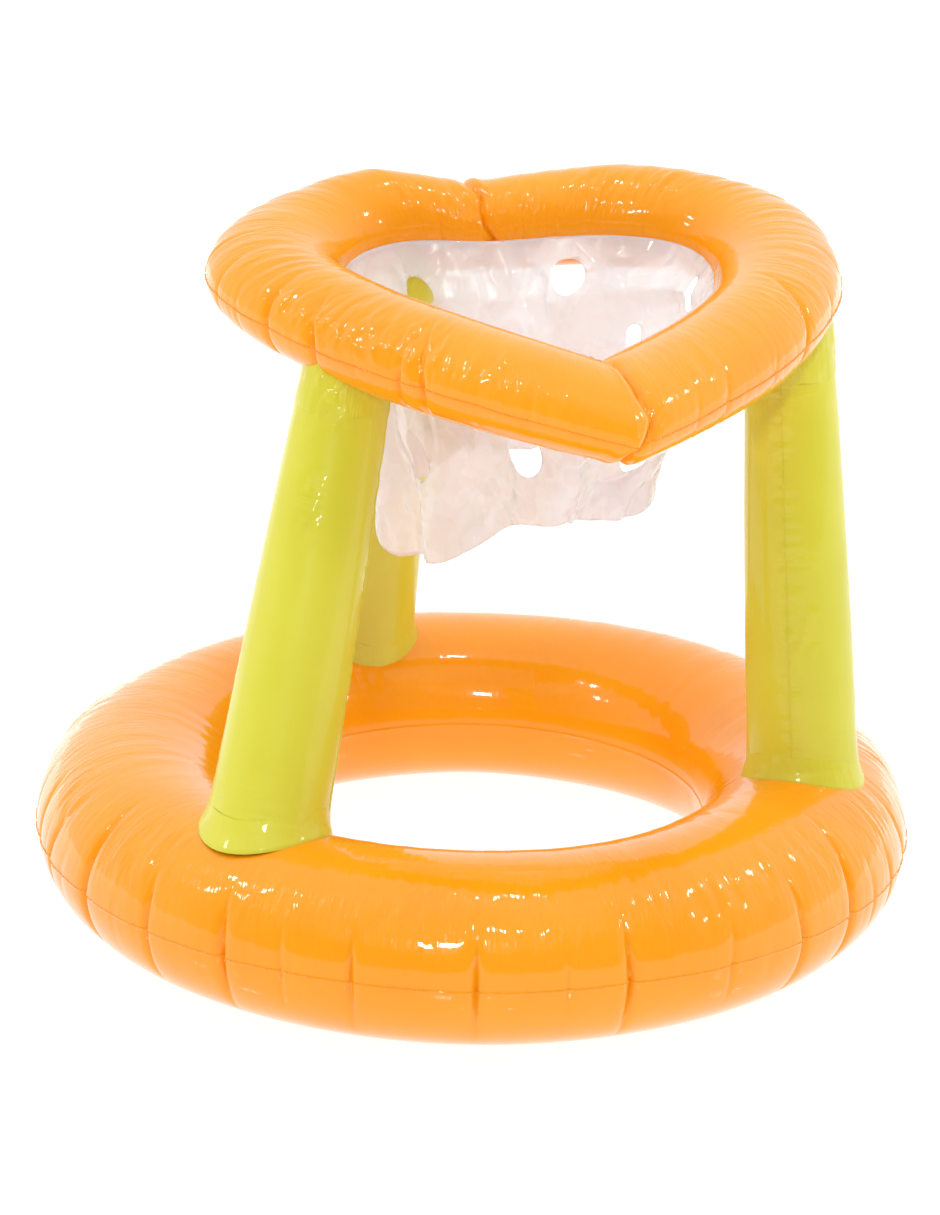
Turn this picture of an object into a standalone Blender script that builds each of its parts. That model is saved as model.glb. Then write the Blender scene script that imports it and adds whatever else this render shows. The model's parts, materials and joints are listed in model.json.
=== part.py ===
"""Floating basketball hoop: an inflatable base ring, three inflatable legs and a heart-shaped
inflatable hoop that carries a film net. Metres, +Z up, origin on the floor under the base's centre.

Every inflated chamber is two sheets of film welded along their edges, so each sheet is a thin
curved skin with a flat weld flange, and the air space between the sheets is left open.
"""

import math

import bmesh
import bpy
import numpy as np
from mathutils import Matrix, Vector

# Film and welds
FILM = 0.001  # wall of every inflated skin
NET_FILM = 0.0007
WELD_GAP = 0.0003  # between pieces that are welded or rest together
SEAM_WIDTH = 0.0025  # flat weld flange along each seam
CUT_OVERRUN = 0.02  # how far a cutter runs past what it cuts

# Base ring
BASE_OUTER_RADIUS = 0.335
BASE_INNER_RADIUS = 0.178
BASE_SEAM_HEIGHT = 0.066
BASE_CROWN_RISE = 0.070
BASE_FLOOR_CONTACT = 0.024  # width of the flat strip that rests on the floor
BASE_SECTIONS = 60
BASE_SPANS = 7

# Heart-shaped hoop: half outlines of its outer and inner seams, from the tip to the cleft,
# as (sideways, backwards) from the hoop's centre, for the right half and the left half
HEART_CENTRE = Vector((0.021, 0.035, 0.4895))
HEART_PITCH = math.radians(10.2)  # the tip sags towards the front
HEART_ROLL = math.radians(-0.5)
HEART_TURN = math.radians(14.2)
HEART_OUTER_TIP = -0.336
HEART_OUTER_CLEFT = 0.103
HEART_INNER_TIP = -0.221
HEART_INNER_BACK = 0.036
HEART_OUTER_RIGHT = [(0.216, -0.1155), (0.2305, 0.026), (0.119, 0.105)]
HEART_OUTER_LEFT = [(0.198, -0.1095), (0.2285, 0.015), (0.121, 0.115)]
HEART_INNER_RIGHT = [(0.1275, -0.088), (0.1315, 0.007), (0.072, 0.036)]
HEART_INNER_LEFT = [(0.1095, -0.082), (0.129, -0.004), (0.074, 0.046)]
HEART_RISES = [0.030, 0.034, 0.034, 0.038, 0.035]  # half thickness from the tip to the cleft
HEART_HALF_SECTIONS = 29
HEART_SPANS = 6

# Legs: foot direction round the base, the place on the hoop's tube that the top meets, and
# the turn from the outward direction to the first of the two side seams
LEG_FOOT_SHARE = 0.533  # foot radius over the half width of the base ring's tube
LEG_TOP_RADIUS = 0.033
LEG_INSET_SHARE = 0.0987  # foot centre inside the crown circle, over the same half width
LEG_SPANS = 10
LEG_RINGS = 4
LEG_BULGE = 0.0012  # how much fuller the middle is
LEGS = {
    "left": {
        "azimuth": math.radians(-126.0),
        "seam_turn": math.radians(-62.0),
        "side": -1,
        "station_share": 0.412,
        "across_share": 0.50,
    },
    "right": {
        "azimuth": math.radians(-14.0),
        "seam_turn": math.radians(-92.0),
        "side": 1,
        "station_share": 0.42,
        "across_share": 0.59,
    },
    "back": {
        "azimuth": math.radians(112.0),
        "seam_turn": math.radians(-90.0),
        "side": -1,
        "station_share": 0.885,
        "across_share": 0.50,
    },
}
CUFF_GAP = 0.0008  # between a leg's sheets and the band welded round its end
FOOT_CUFF_HEIGHT = 0.018
FOOT_CUFF_FLARE = 0.0045  # how much wider the band is where it meets the base ring
TOP_CUFF_HEIGHT = 0.010  # how far it shows below the hoop's tube
AIR_PORT_RADIUS = 0.010  # hole that lets air from the hoop into a leg
LEG_BURIED = 0.006  # how far under the hoop's seam plane the leg's sheets end

# Net
NET_DROP = 0.145
NET_DROP_SLANT = 0.034  # how much longer it hangs on the left than the mean
NET_HEM_WAVE = 0.009
NET_TAPER = 0.030
NET_FOLDS = 7
NET_FOLD_DEPTH = 0.009
NET_ROWS = 4
NET_HOLE_RADIUS = 0.0175
NET_HOLES_PER_ROW = 7
NET_HOLE_SHARES = [0.24, 0.58]  # of the way down to the hem
NET_HOLE_SEGMENTS = 12
NET_PUNCH_REACH = 0.012  # to each side of the film

# Air valves: one in the base ring and one in the hoop
VALVE_FLANGE_RADIUS = 0.014
VALVE_FLANGE_HEIGHT = 0.0025
STEM_RADIUS = 0.005
STEM_BORE_RADIUS = 0.0038
STEM_DEPTH = 0.012  # below the skin
STEM_TRAVEL = 0.005
COLLAR_RADIUS = 0.0068
COLLAR_THICKNESS = 0.0014
VALVE_HOLE_CLEARANCE = 0.0015
HINGE_REACH = 0.012  # from the stem's axis to the strap's hinge
LUG_END = 0.0015
LUG_WIDTH = 0.0045
STRAP_WIDTH = 0.004
STRAP_THICKNESS = 0.0011
CAP_RADIUS = 0.0055
PLUG_TIP_RADIUS = 0.0026
PLUG_DEPTH = 0.0045
FLAP_RADIUS = 0.0042
FLAP_THICKNESS = 0.0006
FLAP_HINGE = 0.004
VALVE_SEGMENTS = 20
BASE_VALVE_SHARE = 0.22  # of the way round from the right side
BASE_VALVE_SLOPE = math.radians(30.0)
HOOP_VALVE_SHARE = 0.40  # of the way round from the tip over the right side
HOOP_VALVE_SLOPE = math.radians(26.0)

CROWN_RADIUS = (BASE_OUTER_RADIUS + BASE_INNER_RADIUS) / 2
BASE_ARCH = (BASE_OUTER_RADIUS - BASE_INNER_RADIUS) / 2 - SEAM_WIDTH
LEG_FOOT_RADIUS = LEG_FOOT_SHARE * BASE_ARCH
SKIN_SEAT = WELD_GAP / 2
FLANGE_TOP = SKIN_SEAT + FILM


def clear_scene():
    for obj in list(bpy.data.objects):
        bpy.data.objects.remove(obj, do_unlink=True)


def material(name, colour, roughness, alpha=1.0):
    made = bpy.data.materials.new(name)
    made.use_nodes = True
    shader = made.node_tree.nodes["Principled BSDF"]
    shader.inputs["Base Color"].default_value = (*colour, 1.0)
    shader.inputs["Roughness"].default_value = roughness
    shader.inputs["Metallic"].default_value = 0.0
    shader.inputs["Alpha"].default_value = alpha
    return made


def add_object(name, bm, finish=None):
    """Turns bm into an object: a piece when it has a finish, otherwise a hidden cutter."""
    bmesh.ops.recalc_face_normals(bm, faces=bm.faces)
    mesh = bpy.data.meshes.new(name)
    bm.to_mesh(mesh)
    bm.free()
    obj = bpy.data.objects.new(name, mesh)
    bpy.context.scene.collection.objects.link(obj)
    if finish is None:
        obj.hide_render = True
        obj.display_type = "WIRE"
    else:
        mesh.materials.append(finish)
        mesh.shade_smooth()
        mesh.set_sharp_from_angle(angle=math.radians(40.0))
    return obj


def boolean(obj, cutter, operation="DIFFERENCE", solver="EXACT"):
    step = obj.modifiers.new(f"{operation.lower()}_{cutter.name}", "BOOLEAN")
    step.operation = operation
    step.solver = solver
    step.object = cutter


def loft(sections, closed):
    """Skin over a row of point loops, joined end to start when closed and capped when not."""
    bm = bmesh.new()
    rings = [[bm.verts.new(point) for point in section] for section in sections]
    pairs = list(zip(rings, rings[1:] + rings[:1])) if closed else list(zip(rings, rings[1:]))
    for ring, following in pairs:
        for i in range(len(ring)):
            j = (i + 1) % len(ring)
            bm.faces.new([ring[i], ring[j], following[j], following[i]])
    if not closed:
        bm.faces.new(rings[0])
        bm.faces.new(rings[-1])
    return bm


def turned(profile, segments=VALVE_SEGMENTS):
    """Body of revolution about Z; the profile is closed, and points on the axis are shared."""
    bm = bmesh.new()
    columns = []
    for radius, height in profile:
        if radius == 0:
            columns.append([bm.verts.new((0, 0, height))])
            continue
        angles = [2 * math.pi * k / segments for k in range(segments)]
        columns.append(
            [bm.verts.new((radius * math.cos(a), radius * math.sin(a), height)) for a in angles]
        )
    for one, two in zip(columns, columns[1:] + columns[:1]):
        if len(one) == 1 and len(two) == 1:
            continue
        for k in range(segments):
            corners = [one[k % len(one)], one[(k + 1) % len(one)]]
            corners += [two[(k + 1) % len(two)], two[k % len(two)]]
            bm.faces.new(list(dict.fromkeys(corners)))
    return bm


def box(low, high):
    bm = bmesh.new()
    bmesh.ops.create_cube(bm, size=1.0)
    for vert in bm.verts:
        vert.co = [l + (h - l) * (c + 0.5) for l, h, c in zip(low, high, vert.co)]
    return bm


def rod(start, end, radius, segments):
    """Closed cylinder between two points."""
    axis = end - start
    bm = turned([(0, 0), (radius, 0), (radius, axis.length), (0, axis.length)], segments)
    bm.transform(Matrix.Translation(start) @ axis.to_track_quat("Z", "Y").to_matrix().to_4x4())
    return bm


def even_angles(spans):
    return [math.pi * k / spans for k in range(spans + 1)]


def floor_angles():
    """Angles over the base's lower skin, with its middle span as the flat floor strip."""
    edge = math.acos(BASE_FLOOR_CONTACT / 2 / BASE_ARCH)
    steps = BASE_SPANS // 2
    rising = [edge * k / steps for k in range(steps + 1)]
    return rising + [math.pi - a for a in reversed(rising)]


def skin_section(inner, outer, up, rise, angles):
    """One cut through a skin between its seams: flange, arch, flange, and back inside the film."""
    across = outer - inner
    half = across.length / 2
    across = across.normalized()
    arch = half - SEAM_WIDTH

    def at(sideways, height):
        return inner + across * sideways + up * height

    points = [at(0, SKIN_SEAT), at(0, FLANGE_TOP)]
    for a in angles:
        points.append(at(half - arch * math.cos(a), FLANGE_TOP + (rise - FLANGE_TOP) * math.sin(a)))
    points += [at(2 * half, FLANGE_TOP), at(2 * half, SKIN_SEAT)]
    for a in angles:
        inside = rise - FILM - SKIN_SEAT
        points.append(at(half + (arch - FILM) * math.cos(a), SKIN_SEAT + inside * math.sin(a)))
    return points


def chamber_section(inner, outer, up, arches, offset):
    """One cut through the inflated chamber, grown by offset; each arch is (direction, rise, angles)."""
    across = outer - inner
    half = across.length / 2
    across = across.normalized()
    arch = half - SEAM_WIDTH + offset
    points = []
    for direction, rise, angles in arches:
        for a in angles:
            height = FLANGE_TOP + (rise - FLANGE_TOP) * math.sin(a) + offset
            sideways = half - direction * arch * math.cos(a)
            points.append(inner + across * sideways + up * (direction * height))
    return points


def spline(points, count, level_end):
    """Even steps along a natural cubic; with level_end it meets its mirror image smoothly."""
    pts = np.array(points)
    steps = np.linalg.norm(np.diff(pts, axis=0), axis=1)
    knots = np.concatenate([[0.0], np.cumsum(steps)])
    size = len(pts)
    rows = np.zeros((size, size))
    right = np.zeros((size, 2))
    rows[0, 0] = rows[-1, -1] = 1.0
    for i in range(1, size - 1):
        rows[i, i - 1 : i + 2] = steps[i - 1], 2 * (steps[i - 1] + steps[i]), steps[i]
        right[i] = 6 * ((pts[i + 1] - pts[i]) / steps[i] - (pts[i] - pts[i - 1]) / steps[i - 1])
    if level_end:
        rows[-1, -2:] = steps[-1], 2 * steps[-1]
        right[-1] = 6 * (np.array([-1.0, 0.0]) - (pts[-1] - pts[-2]) / steps[-1])
    bends = np.linalg.solve(rows, right)
    made = []
    for t in np.linspace(0, knots[-1], count):
        i = min(int(np.searchsorted(knots, t, side="right")) - 1, size - 2)
        h = steps[i]
        b = (t - knots[i]) / h
        a = 1 - b
        curve = ((a**3 - a) * bends[i] + (b**3 - b) * bends[i + 1]) * h * h / 6
        made.append(a * pts[i] + b * pts[i + 1] + curve)
    return made


def heart_rail(tip, right, left, cleft, level_end):
    """A closed seam of the hoop in its own plane: tip, right half, cleft, left half."""
    count = HEART_HALF_SECTIONS + 1
    halves = []
    for side, points in ((1, right), (-1, left)):
        half = spline([(0, tip), *points, (0, cleft)], count, level_end)
        halves.append([(side * x, y) for x, y in half])
    return halves[0] + halves[1][-2:0:-1]


def heart_frame():
    tilt = Matrix.Rotation(-HEART_ROLL, 4, "Y") @ Matrix.Rotation(HEART_PITCH, 4, "X")
    return Matrix.Translation(HEART_CENTRE) @ tilt @ Matrix.Rotation(HEART_TURN, 4, "Z")


def heart_sections():
    """(inner seam point, outer seam point, up, rise) all round the hoop, in the part's frame."""
    outer = heart_rail(HEART_OUTER_TIP, HEART_OUTER_RIGHT, HEART_OUTER_LEFT, HEART_OUTER_CLEFT, False)
    inner = heart_rail(HEART_INNER_TIP, HEART_INNER_RIGHT, HEART_INNER_LEFT, HEART_INNER_BACK, True)
    frame = heart_frame()
    up = (frame.to_3x3() @ Vector((0, 0, 1))).normalized()
    stations = np.linspace(0, 1, len(HEART_RISES))
    made = []
    for k, (one, two) in enumerate(zip(inner, outer)):
        share = 1 - abs(1 - k / HEART_HALF_SECTIONS)
        rise = float(np.interp(share, stations, HEART_RISES))
        made.append((frame @ Vector((*one, 0)), frame @ Vector((*two, 0)), up, rise))
    return made


def base_sections():
    made = []
    up = Vector((0, 0, 1))
    for k in range(BASE_SECTIONS):
        a = 2 * math.pi * k / BASE_SECTIONS
        out = Vector((math.cos(a), math.sin(a), 0))
        seam = up * BASE_SEAM_HEIGHT
        made.append((out * BASE_INNER_RADIUS + seam, out * BASE_OUTER_RADIUS + seam, up, BASE_CROWN_RISE))
    return made


def base_drop():
    """Depth of the lower skin's full arch, whose flat strip lies on the floor."""
    edge = floor_angles()[BASE_SPANS // 2]
    return FLANGE_TOP + (BASE_SEAM_HEIGHT - FLANGE_TOP) / math.sin(edge)


def base_chamber(offset):
    arches = [(1, BASE_CROWN_RISE, even_angles(BASE_SPANS)), (-1, base_drop(), floor_angles())]
    return loft([chamber_section(i, o, up, arches, offset) for i, o, up, _ in base_sections()], True)


def heart_chamber(offset):
    cuts = []
    for inner, outer, up, rise in heart_sections():
        arches = [(direction, rise, even_angles(HEART_SPANS)) for direction in (1, -1)]
        cuts.append(chamber_section(inner, outer, up, arches, offset))
    return loft(cuts, True)


def build_skins(orange):
    """The four sheets that make the base ring and the hoop."""
    upper = [skin_section(i, o, up, r, even_angles(BASE_SPANS)) for i, o, up, r in base_sections()]
    lower = [skin_section(i, o, -up, base_drop(), floor_angles()) for i, o, up, _ in base_sections()]
    skins = {
        "base_upper_skin": add_object("base_upper_skin", loft(upper, True), orange),
        "base_lower_skin": add_object("base_lower_skin", loft(lower, True), orange),
    }
    angles = even_angles(HEART_SPANS)
    upper = [skin_section(i, o, up, r, angles) for i, o, up, r in heart_sections()]
    lower = [skin_section(i, o, -up, r, angles) for i, o, up, r in heart_sections()]
    skins["heart_upper_skin"] = add_object("heart_upper_skin", loft(upper, True), orange)
    skins["heart_lower_skin"] = add_object("heart_lower_skin", loft(lower, True), orange)
    return skins


def leg_ends(leg):
    """Foot centre on the base's crown and top centre in the middle of the hoop's tube."""
    reach = CROWN_RADIUS - LEG_INSET_SHARE * BASE_ARCH
    foot = Vector((math.cos(leg["azimuth"]), math.sin(leg["azimuth"]), 0)) * reach
    foot.z = BASE_SEAM_HEIGHT + BASE_CROWN_RISE
    sections = heart_sections()
    place = leg["side"] * leg["station_share"] * HEART_HALF_SECTIONS
    first = math.floor(place)
    part = place - first
    tops = [sections[(first + k) % len(sections)] for k in (0, 1)]
    tops = [inner.lerp(outer, leg["across_share"]) for inner, outer, _, _ in tops]
    return foot, tops[0].lerp(tops[1], part)


def leg_frame(leg):
    """(foot, top, along, seam direction, panel direction) of a leg."""
    foot, top = leg_ends(leg)
    along = (top - foot).normalized()
    turn = leg["azimuth"] + leg["seam_turn"]
    seam = Vector((math.cos(turn), math.sin(turn), 0))
    seam = (seam - along * seam.dot(along)).normalized()
    return foot, top, along, seam, along.cross(seam)


def leg_radius(share):
    """Radius of a leg at a share of the way from its foot to its top."""
    bulge = LEG_BULGE * math.sin(math.pi * min(max(share, 0), 1))
    return LEG_FOOT_RADIUS + (LEG_TOP_RADIUS - LEG_FOOT_RADIUS) * share + bulge


def leg_trim(point, top, along, hoop_up, depth):
    """How far a point slides along the leg to lie at a depth under the hoop's seam plane."""
    return (top - hoop_up * depth - point).dot(hoop_up) / along.dot(hoop_up)


def base_height(point):
    """Height of the base ring's upper skin under a point."""
    across = (math.hypot(point.x, point.y) - CROWN_RADIUS) / BASE_ARCH
    rise = (BASE_CROWN_RISE - FLANGE_TOP) * math.sqrt(max(1 - across**2, 0))
    return BASE_SEAM_HEIGHT + FLANGE_TOP + rise


def cuff_point(frame, reach, turn, grown):
    """A point round a leg's panels and seams, reach up from its foot and grown off its sheets."""
    foot, top, along, seam, face = frame
    radius = leg_radius(reach / (top - foot).length) + grown
    sideways = seam * (radius + SEAM_WIDTH) * math.cos(turn)
    return foot + along * reach - sideways + face * radius * math.sin(turn)


def add_cuff(name, frame, rows, lime, seat):
    """A band of film round a leg; each row is (reach at a turn, how far it flares)."""
    sections = []
    for k in range(2 * LEG_SPANS):
        turn = math.pi * k / LEG_SPANS
        outside = [cuff_point(frame, reach(turn), turn, CUFF_GAP + FILM + flare) for reach, flare in rows]
        inside = [cuff_point(frame, reach(turn), turn, CUFF_GAP + flare) for reach, flare in rows]
        sections.append(outside + inside[::-1])
    cuff = add_object(name, loft(sections, True), lime)
    boolean(cuff, seat)


def build_leg(name, leg, lime, cutters, skins):
    """Two panels, seated on the base ring and under the hoop, and a welded cuff at each end."""
    frame = leg_frame(leg)
    foot, top, along, seam, face = frame
    start = foot - along * CUT_OVERRUN
    full = (top - foot).length
    hoop_up, hoop_rise = heart_sections()[round(leg["station_share"] * HEART_HALF_SECTIONS)][2:]
    for label, direction in (("outer", 1), ("inner", -1)):
        sections = []
        for k in range(LEG_RINGS + 1):
            centre = start.lerp(top, k / LEG_RINGS)
            radius = leg_radius((centre - foot).dot(along) / full)
            edge = seam * (radius + SEAM_WIDTH)
            up = face * direction
            sections.append(skin_section(centre - edge, centre + edge, up, radius, even_angles(LEG_SPANS)))
        sections[-1] = [p + along * leg_trim(p, top, along, hoop_up, LEG_BURIED) for p in sections[-1]]
        panel = add_object(f"{name}_leg_{label}_panel", loft(sections, False), lime)
        boolean(panel, cutters["base_seat"])
        boolean(panel, cutters["hoop_seat"])

    def above_base(height):
        def reach(turn):
            place = cuff_point(frame, 0, turn, CUFF_GAP)
            return (base_height(place) + height - place.z) / along.z

        return reach

    def under_hoop(depth):
        def reach(turn):
            place = cuff_point(frame, full, turn, CUFF_GAP)
            return full + leg_trim(place, top, along, hoop_up, depth)

        return reach

    rows = [
        (above_base(-FOOT_CUFF_FLARE), FOOT_CUFF_FLARE),
        (above_base(FOOT_CUFF_FLARE), FOOT_CUFF_FLARE / 2),
        (above_base(FOOT_CUFF_HEIGHT / 2), 0),
        (above_base(FOOT_CUFF_HEIGHT), 0),
    ]
    add_cuff(f"{name}_leg_foot_cuff", frame, rows, lime, cutters["base_seat"])

    rows = [(under_hoop(hoop_rise + TOP_CUFF_HEIGHT), 0), (under_hoop(LEG_BURIED), 0)]
    add_cuff(f"{name}_leg_top_cuff", frame, rows, lime, cutters["hoop_seat"])

    low = top - hoop_up * (hoop_rise + TOP_CUFF_HEIGHT)
    port = rod(low, top, AIR_PORT_RADIUS, VALVE_SEGMENTS)
    boolean(skins["heart_lower_skin"], add_object(f"{name}_air_port", port))


def net_loops():
    """Columns of (place, flat way in) from the hoop's inner seam down to the hem, round the net."""
    sections = heart_sections()
    count = len(sections)
    centre = sum((inner for inner, _, _, _ in sections), Vector()) / count
    spread = sum((inner - centre).length for inner, _, _, _ in sections) / count
    loops = []
    for k, (inner, outer, _, _) in enumerate(sections):
        inward = (inner - outer).normalized()
        turn = 2 * math.pi * k / count
        left = (centre.x - inner.x) / spread
        drop = NET_DROP + NET_DROP_SLANT * left + NET_HEM_WAVE * math.sin(3 * turn)
        fold = NET_FOLD_DEPTH * math.sin(NET_FOLDS * turn)
        middle = Vector((centre.x - inner.x, centre.y - inner.y, 0))
        flat = middle.normalized()
        column = []
        for row in range(NET_ROWS + 1):
            share = row / NET_ROWS
            ease = share * share * (3 - 2 * share)
            place = inner + inward * WELD_GAP
            place += middle * (NET_TAPER / spread * share) + flat * (fold * ease)
            place.z -= drop * share
            column.append((place, flat))
        loops.append(column)
    return loops


def net_inside(loops, k, row):
    """The point a film's thickness inside the net's outer face, square to that face."""
    place, flat = loops[k][row]
    around = loops[(k + 1) % len(loops)][row][0] - loops[k - 1][row][0]
    down = loops[k][min(row + 1, NET_ROWS)][0] - loops[k][max(row - 1, 0)][0]
    square = around.cross(down).normalized()
    return place + square * math.copysign(NET_FILM, square.dot(flat))


def build_net(film):
    """A hanging skirt of film with folds and two rows of round cut-outs."""
    loops = net_loops()
    count = len(loops)
    skirt = bmesh.new()
    outside = [[skirt.verts.new(place) for place, _ in column] for column in loops]
    inside = [
        [skirt.verts.new(net_inside(loops, k, row)) for row in range(NET_ROWS + 1)] for k in range(count)
    ]
    # Both faces are split along the same diagonals, so the film stays evenly thick.
    for k in range(count):
        j = (k + 1) % count
        for face in (outside, inside):
            for row in range(NET_ROWS):
                skirt.faces.new([face[k][row], face[k][row + 1], face[j][row + 1]])
                skirt.faces.new([face[k][row], face[j][row + 1], face[j][row]])
        for row in (0, NET_ROWS):
            skirt.faces.new([outside[k][row], inside[k][row], inside[j][row], outside[j][row]])
    net = add_object("net", skirt, film)
    holes = bmesh.new()
    for row, share in enumerate(NET_HOLE_SHARES):
        for k in range(NET_HOLES_PER_ROW):
            column = loops[int((k + row / 2) * count / NET_HOLES_PER_ROW + 1) % count]
            along = share * NET_ROWS
            step = min(int(along), NET_ROWS - 1)
            place = column[step][0].lerp(column[step + 1][0], along - step)
            reach = column[step][1] * NET_PUNCH_REACH
            punch = rod(place - reach, place + reach, NET_HOLE_RADIUS, NET_HOLE_SEGMENTS)
            spare = bpy.data.meshes.new("punch")
            punch.to_mesh(spare)
            punch.free()
            holes.from_mesh(spare)
            bpy.data.meshes.remove(spare)
    # EXACT empties this thin wavy skirt, so its punches use the solver for closed meshes.
    boolean(net, add_object("net_punches", holes), solver="MANIFOLD")


def skin_spot(section, slope):
    """A place on a skin's outside and the direction over its arch there."""
    inner, outer, up, rise = section
    across = (outer - inner).normalized()
    half = (outer - inner).length / 2
    arch = half - SEAM_WIDTH
    place = inner + across * (half + arch * math.cos(slope))
    place += up * (FLANGE_TOP + (rise - FLANGE_TOP) * math.sin(slope))
    return place, up * rise * math.cos(slope) - across * arch * math.sin(slope)


def valve_frame(sections, share, slope):
    """Frame on a skin at a share of the way round: Z out of the skin, X along the chamber."""
    station = round(share * len(sections))
    before, here, after = [skin_spot(sections[station + k], slope) for k in (-1, 0, 1)]
    x = (after[0] - before[0]).normalized()
    z = x.cross(here[1]).normalized()
    frame = Matrix((x, z.cross(x), z)).transposed().to_4x4()
    frame.translation = here[0]
    return frame


def empty(name, matrix, parent=None):
    made = bpy.data.objects.new(name, None)
    bpy.context.scene.collection.objects.link(made)
    made.parent = parent
    made.matrix_local = matrix
    return made


def place(obj, parent):
    obj.parent = parent
    return obj


def build_valve(name, frame, skin, cutter, clear):
    """Flange on the skin, push-in stem, plug on a strap, and the check flap under the stem."""
    seat = empty(f"{name}_seat", frame)
    collar_low = VALVE_FLANGE_HEIGHT + STEM_TRAVEL + WELD_GAP
    collar_top = collar_low + COLLAR_THICKNESS
    hole = STEM_RADIUS + WELD_GAP

    rim = [(hole, -VALVE_FLANGE_RADIUS), (VALVE_FLANGE_RADIUS, -VALVE_FLANGE_RADIUS)]
    rim += [(VALVE_FLANGE_RADIUS, VALVE_FLANGE_HEIGHT), (hole, VALVE_FLANGE_HEIGHT)]
    flange = place(add_object(f"{name}_flange", turned(rim), clear), seat)
    boolean(flange, cutter)

    bore = turned(
        [(0, -STEM_DEPTH), (STEM_RADIUS + VALVE_HOLE_CLEARANCE, -STEM_DEPTH)]
        + [(STEM_RADIUS + VALVE_HOLE_CLEARANCE, CUT_OVERRUN), (0, CUT_OVERRUN)]
    )
    boolean(skin, place(add_object(f"{name}_skin_hole", bore), seat))

    wall = [(STEM_BORE_RADIUS, -STEM_DEPTH), (STEM_RADIUS, -STEM_DEPTH), (STEM_RADIUS, collar_low)]
    wall += [(COLLAR_RADIUS, collar_low), (COLLAR_RADIUS, collar_top), (STEM_BORE_RADIUS, collar_top)]
    stem = place(add_object(f"{name}_stem", turned(wall), clear), seat)
    lug = box(
        (-HINGE_REACH - LUG_END, -LUG_WIDTH / 2, collar_low),
        (-STEM_RADIUS, LUG_WIDTH / 2, collar_top),
    )
    boolean(stem, place(add_object(f"{name}_lug", lug), seat), "UNION")

    strap_low = collar_top + WELD_GAP
    hinge_height = strap_low + STRAP_THICKNESS / 2
    hinge = Matrix.Translation((-HINGE_REACH, 0, hinge_height))
    pivot = empty(f"{name}_plug_hinge", hinge, seat)
    plug_top = STEM_BORE_RADIUS - WELD_GAP
    body = [(0, collar_top - PLUG_DEPTH), (PLUG_TIP_RADIUS, collar_top - PLUG_DEPTH)]
    body += [(plug_top, strap_low), (CAP_RADIUS, strap_low)]
    body += [(CAP_RADIUS, strap_low + STRAP_THICKNESS), (0, strap_low + STRAP_THICKNESS)]
    shape = turned(body)
    shape.transform(hinge.inverted())
    plug = place(add_object(f"{name}_plug", shape, clear), pivot)
    strap = box(
        (-HINGE_REACH + WELD_GAP, -STRAP_WIDTH / 2, strap_low),
        (-STEM_BORE_RADIUS, STRAP_WIDTH / 2, strap_low + STRAP_THICKNESS),
    )
    strap.transform(hinge.inverted())
    boolean(plug, place(add_object(f"{name}_strap", strap), pivot), "UNION")

    flap_top = -STEM_DEPTH - WELD_GAP
    turn = Matrix.Translation((-FLAP_HINGE, 0, flap_top - FLAP_THICKNESS / 2))
    flap_pivot = empty(f"{name}_flap_hinge", turn, seat)
    disc = turned(
        [(0, flap_top - FLAP_THICKNESS), (FLAP_RADIUS, flap_top - FLAP_THICKNESS)]
        + [(FLAP_RADIUS, flap_top), (0, flap_top)]
    )
    disc.transform(turn.inverted())
    place(add_object(f"{name}_flap", disc, clear), flap_pivot)


def main():
    clear_scene()
    orange = material("orange_pvc_film", (1.0, 0.40, 0.035), 0.16)
    lime = material("lime_pvc_film", (0.74, 0.70, 0.06), 0.22)
    pink = material("milky_net_film", (0.88, 0.76, 0.72), 0.25, 0.7)
    clear = material("clear_soft_pvc", (0.85, 0.86, 0.84), 0.2)

    skins = build_skins(orange)
    cutters = {
        "base_seat": add_object("base_seat", base_chamber(WELD_GAP)),
        "hoop_seat": add_object("hoop_seat", heart_chamber(WELD_GAP)),
    }
    for name, leg in LEGS.items():
        build_leg(name, leg, lime, cutters, skins)
    build_net(pink)

    frame = valve_frame(base_sections(), BASE_VALVE_SHARE, BASE_VALVE_SLOPE)
    build_valve("base_valve", frame, skins["base_upper_skin"], cutters["base_seat"], clear)
    frame = valve_frame(heart_sections(), HOOP_VALVE_SHARE, HOOP_VALVE_SLOPE)
    build_valve("hoop_valve", frame, skins["heart_upper_skin"], cutters["hoop_seat"], clear)


main()
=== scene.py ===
"""Looks of the floating basketball hoop: the puckered inflated ring, legs and heart hoop, the hanging
film net and the air valves, in glossy PVC film. Metres, +Z up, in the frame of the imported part.

Every inflated piece is made as its two welded sheets would lie: a tube swept along its seams, drawn in
at the creases that cross the weld and finely wrinkled where the film is too long for the bend.
"""

import json
import math

import bmesh
import bpy
import numpy as np
from mathutils import Matrix, Vector


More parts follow.
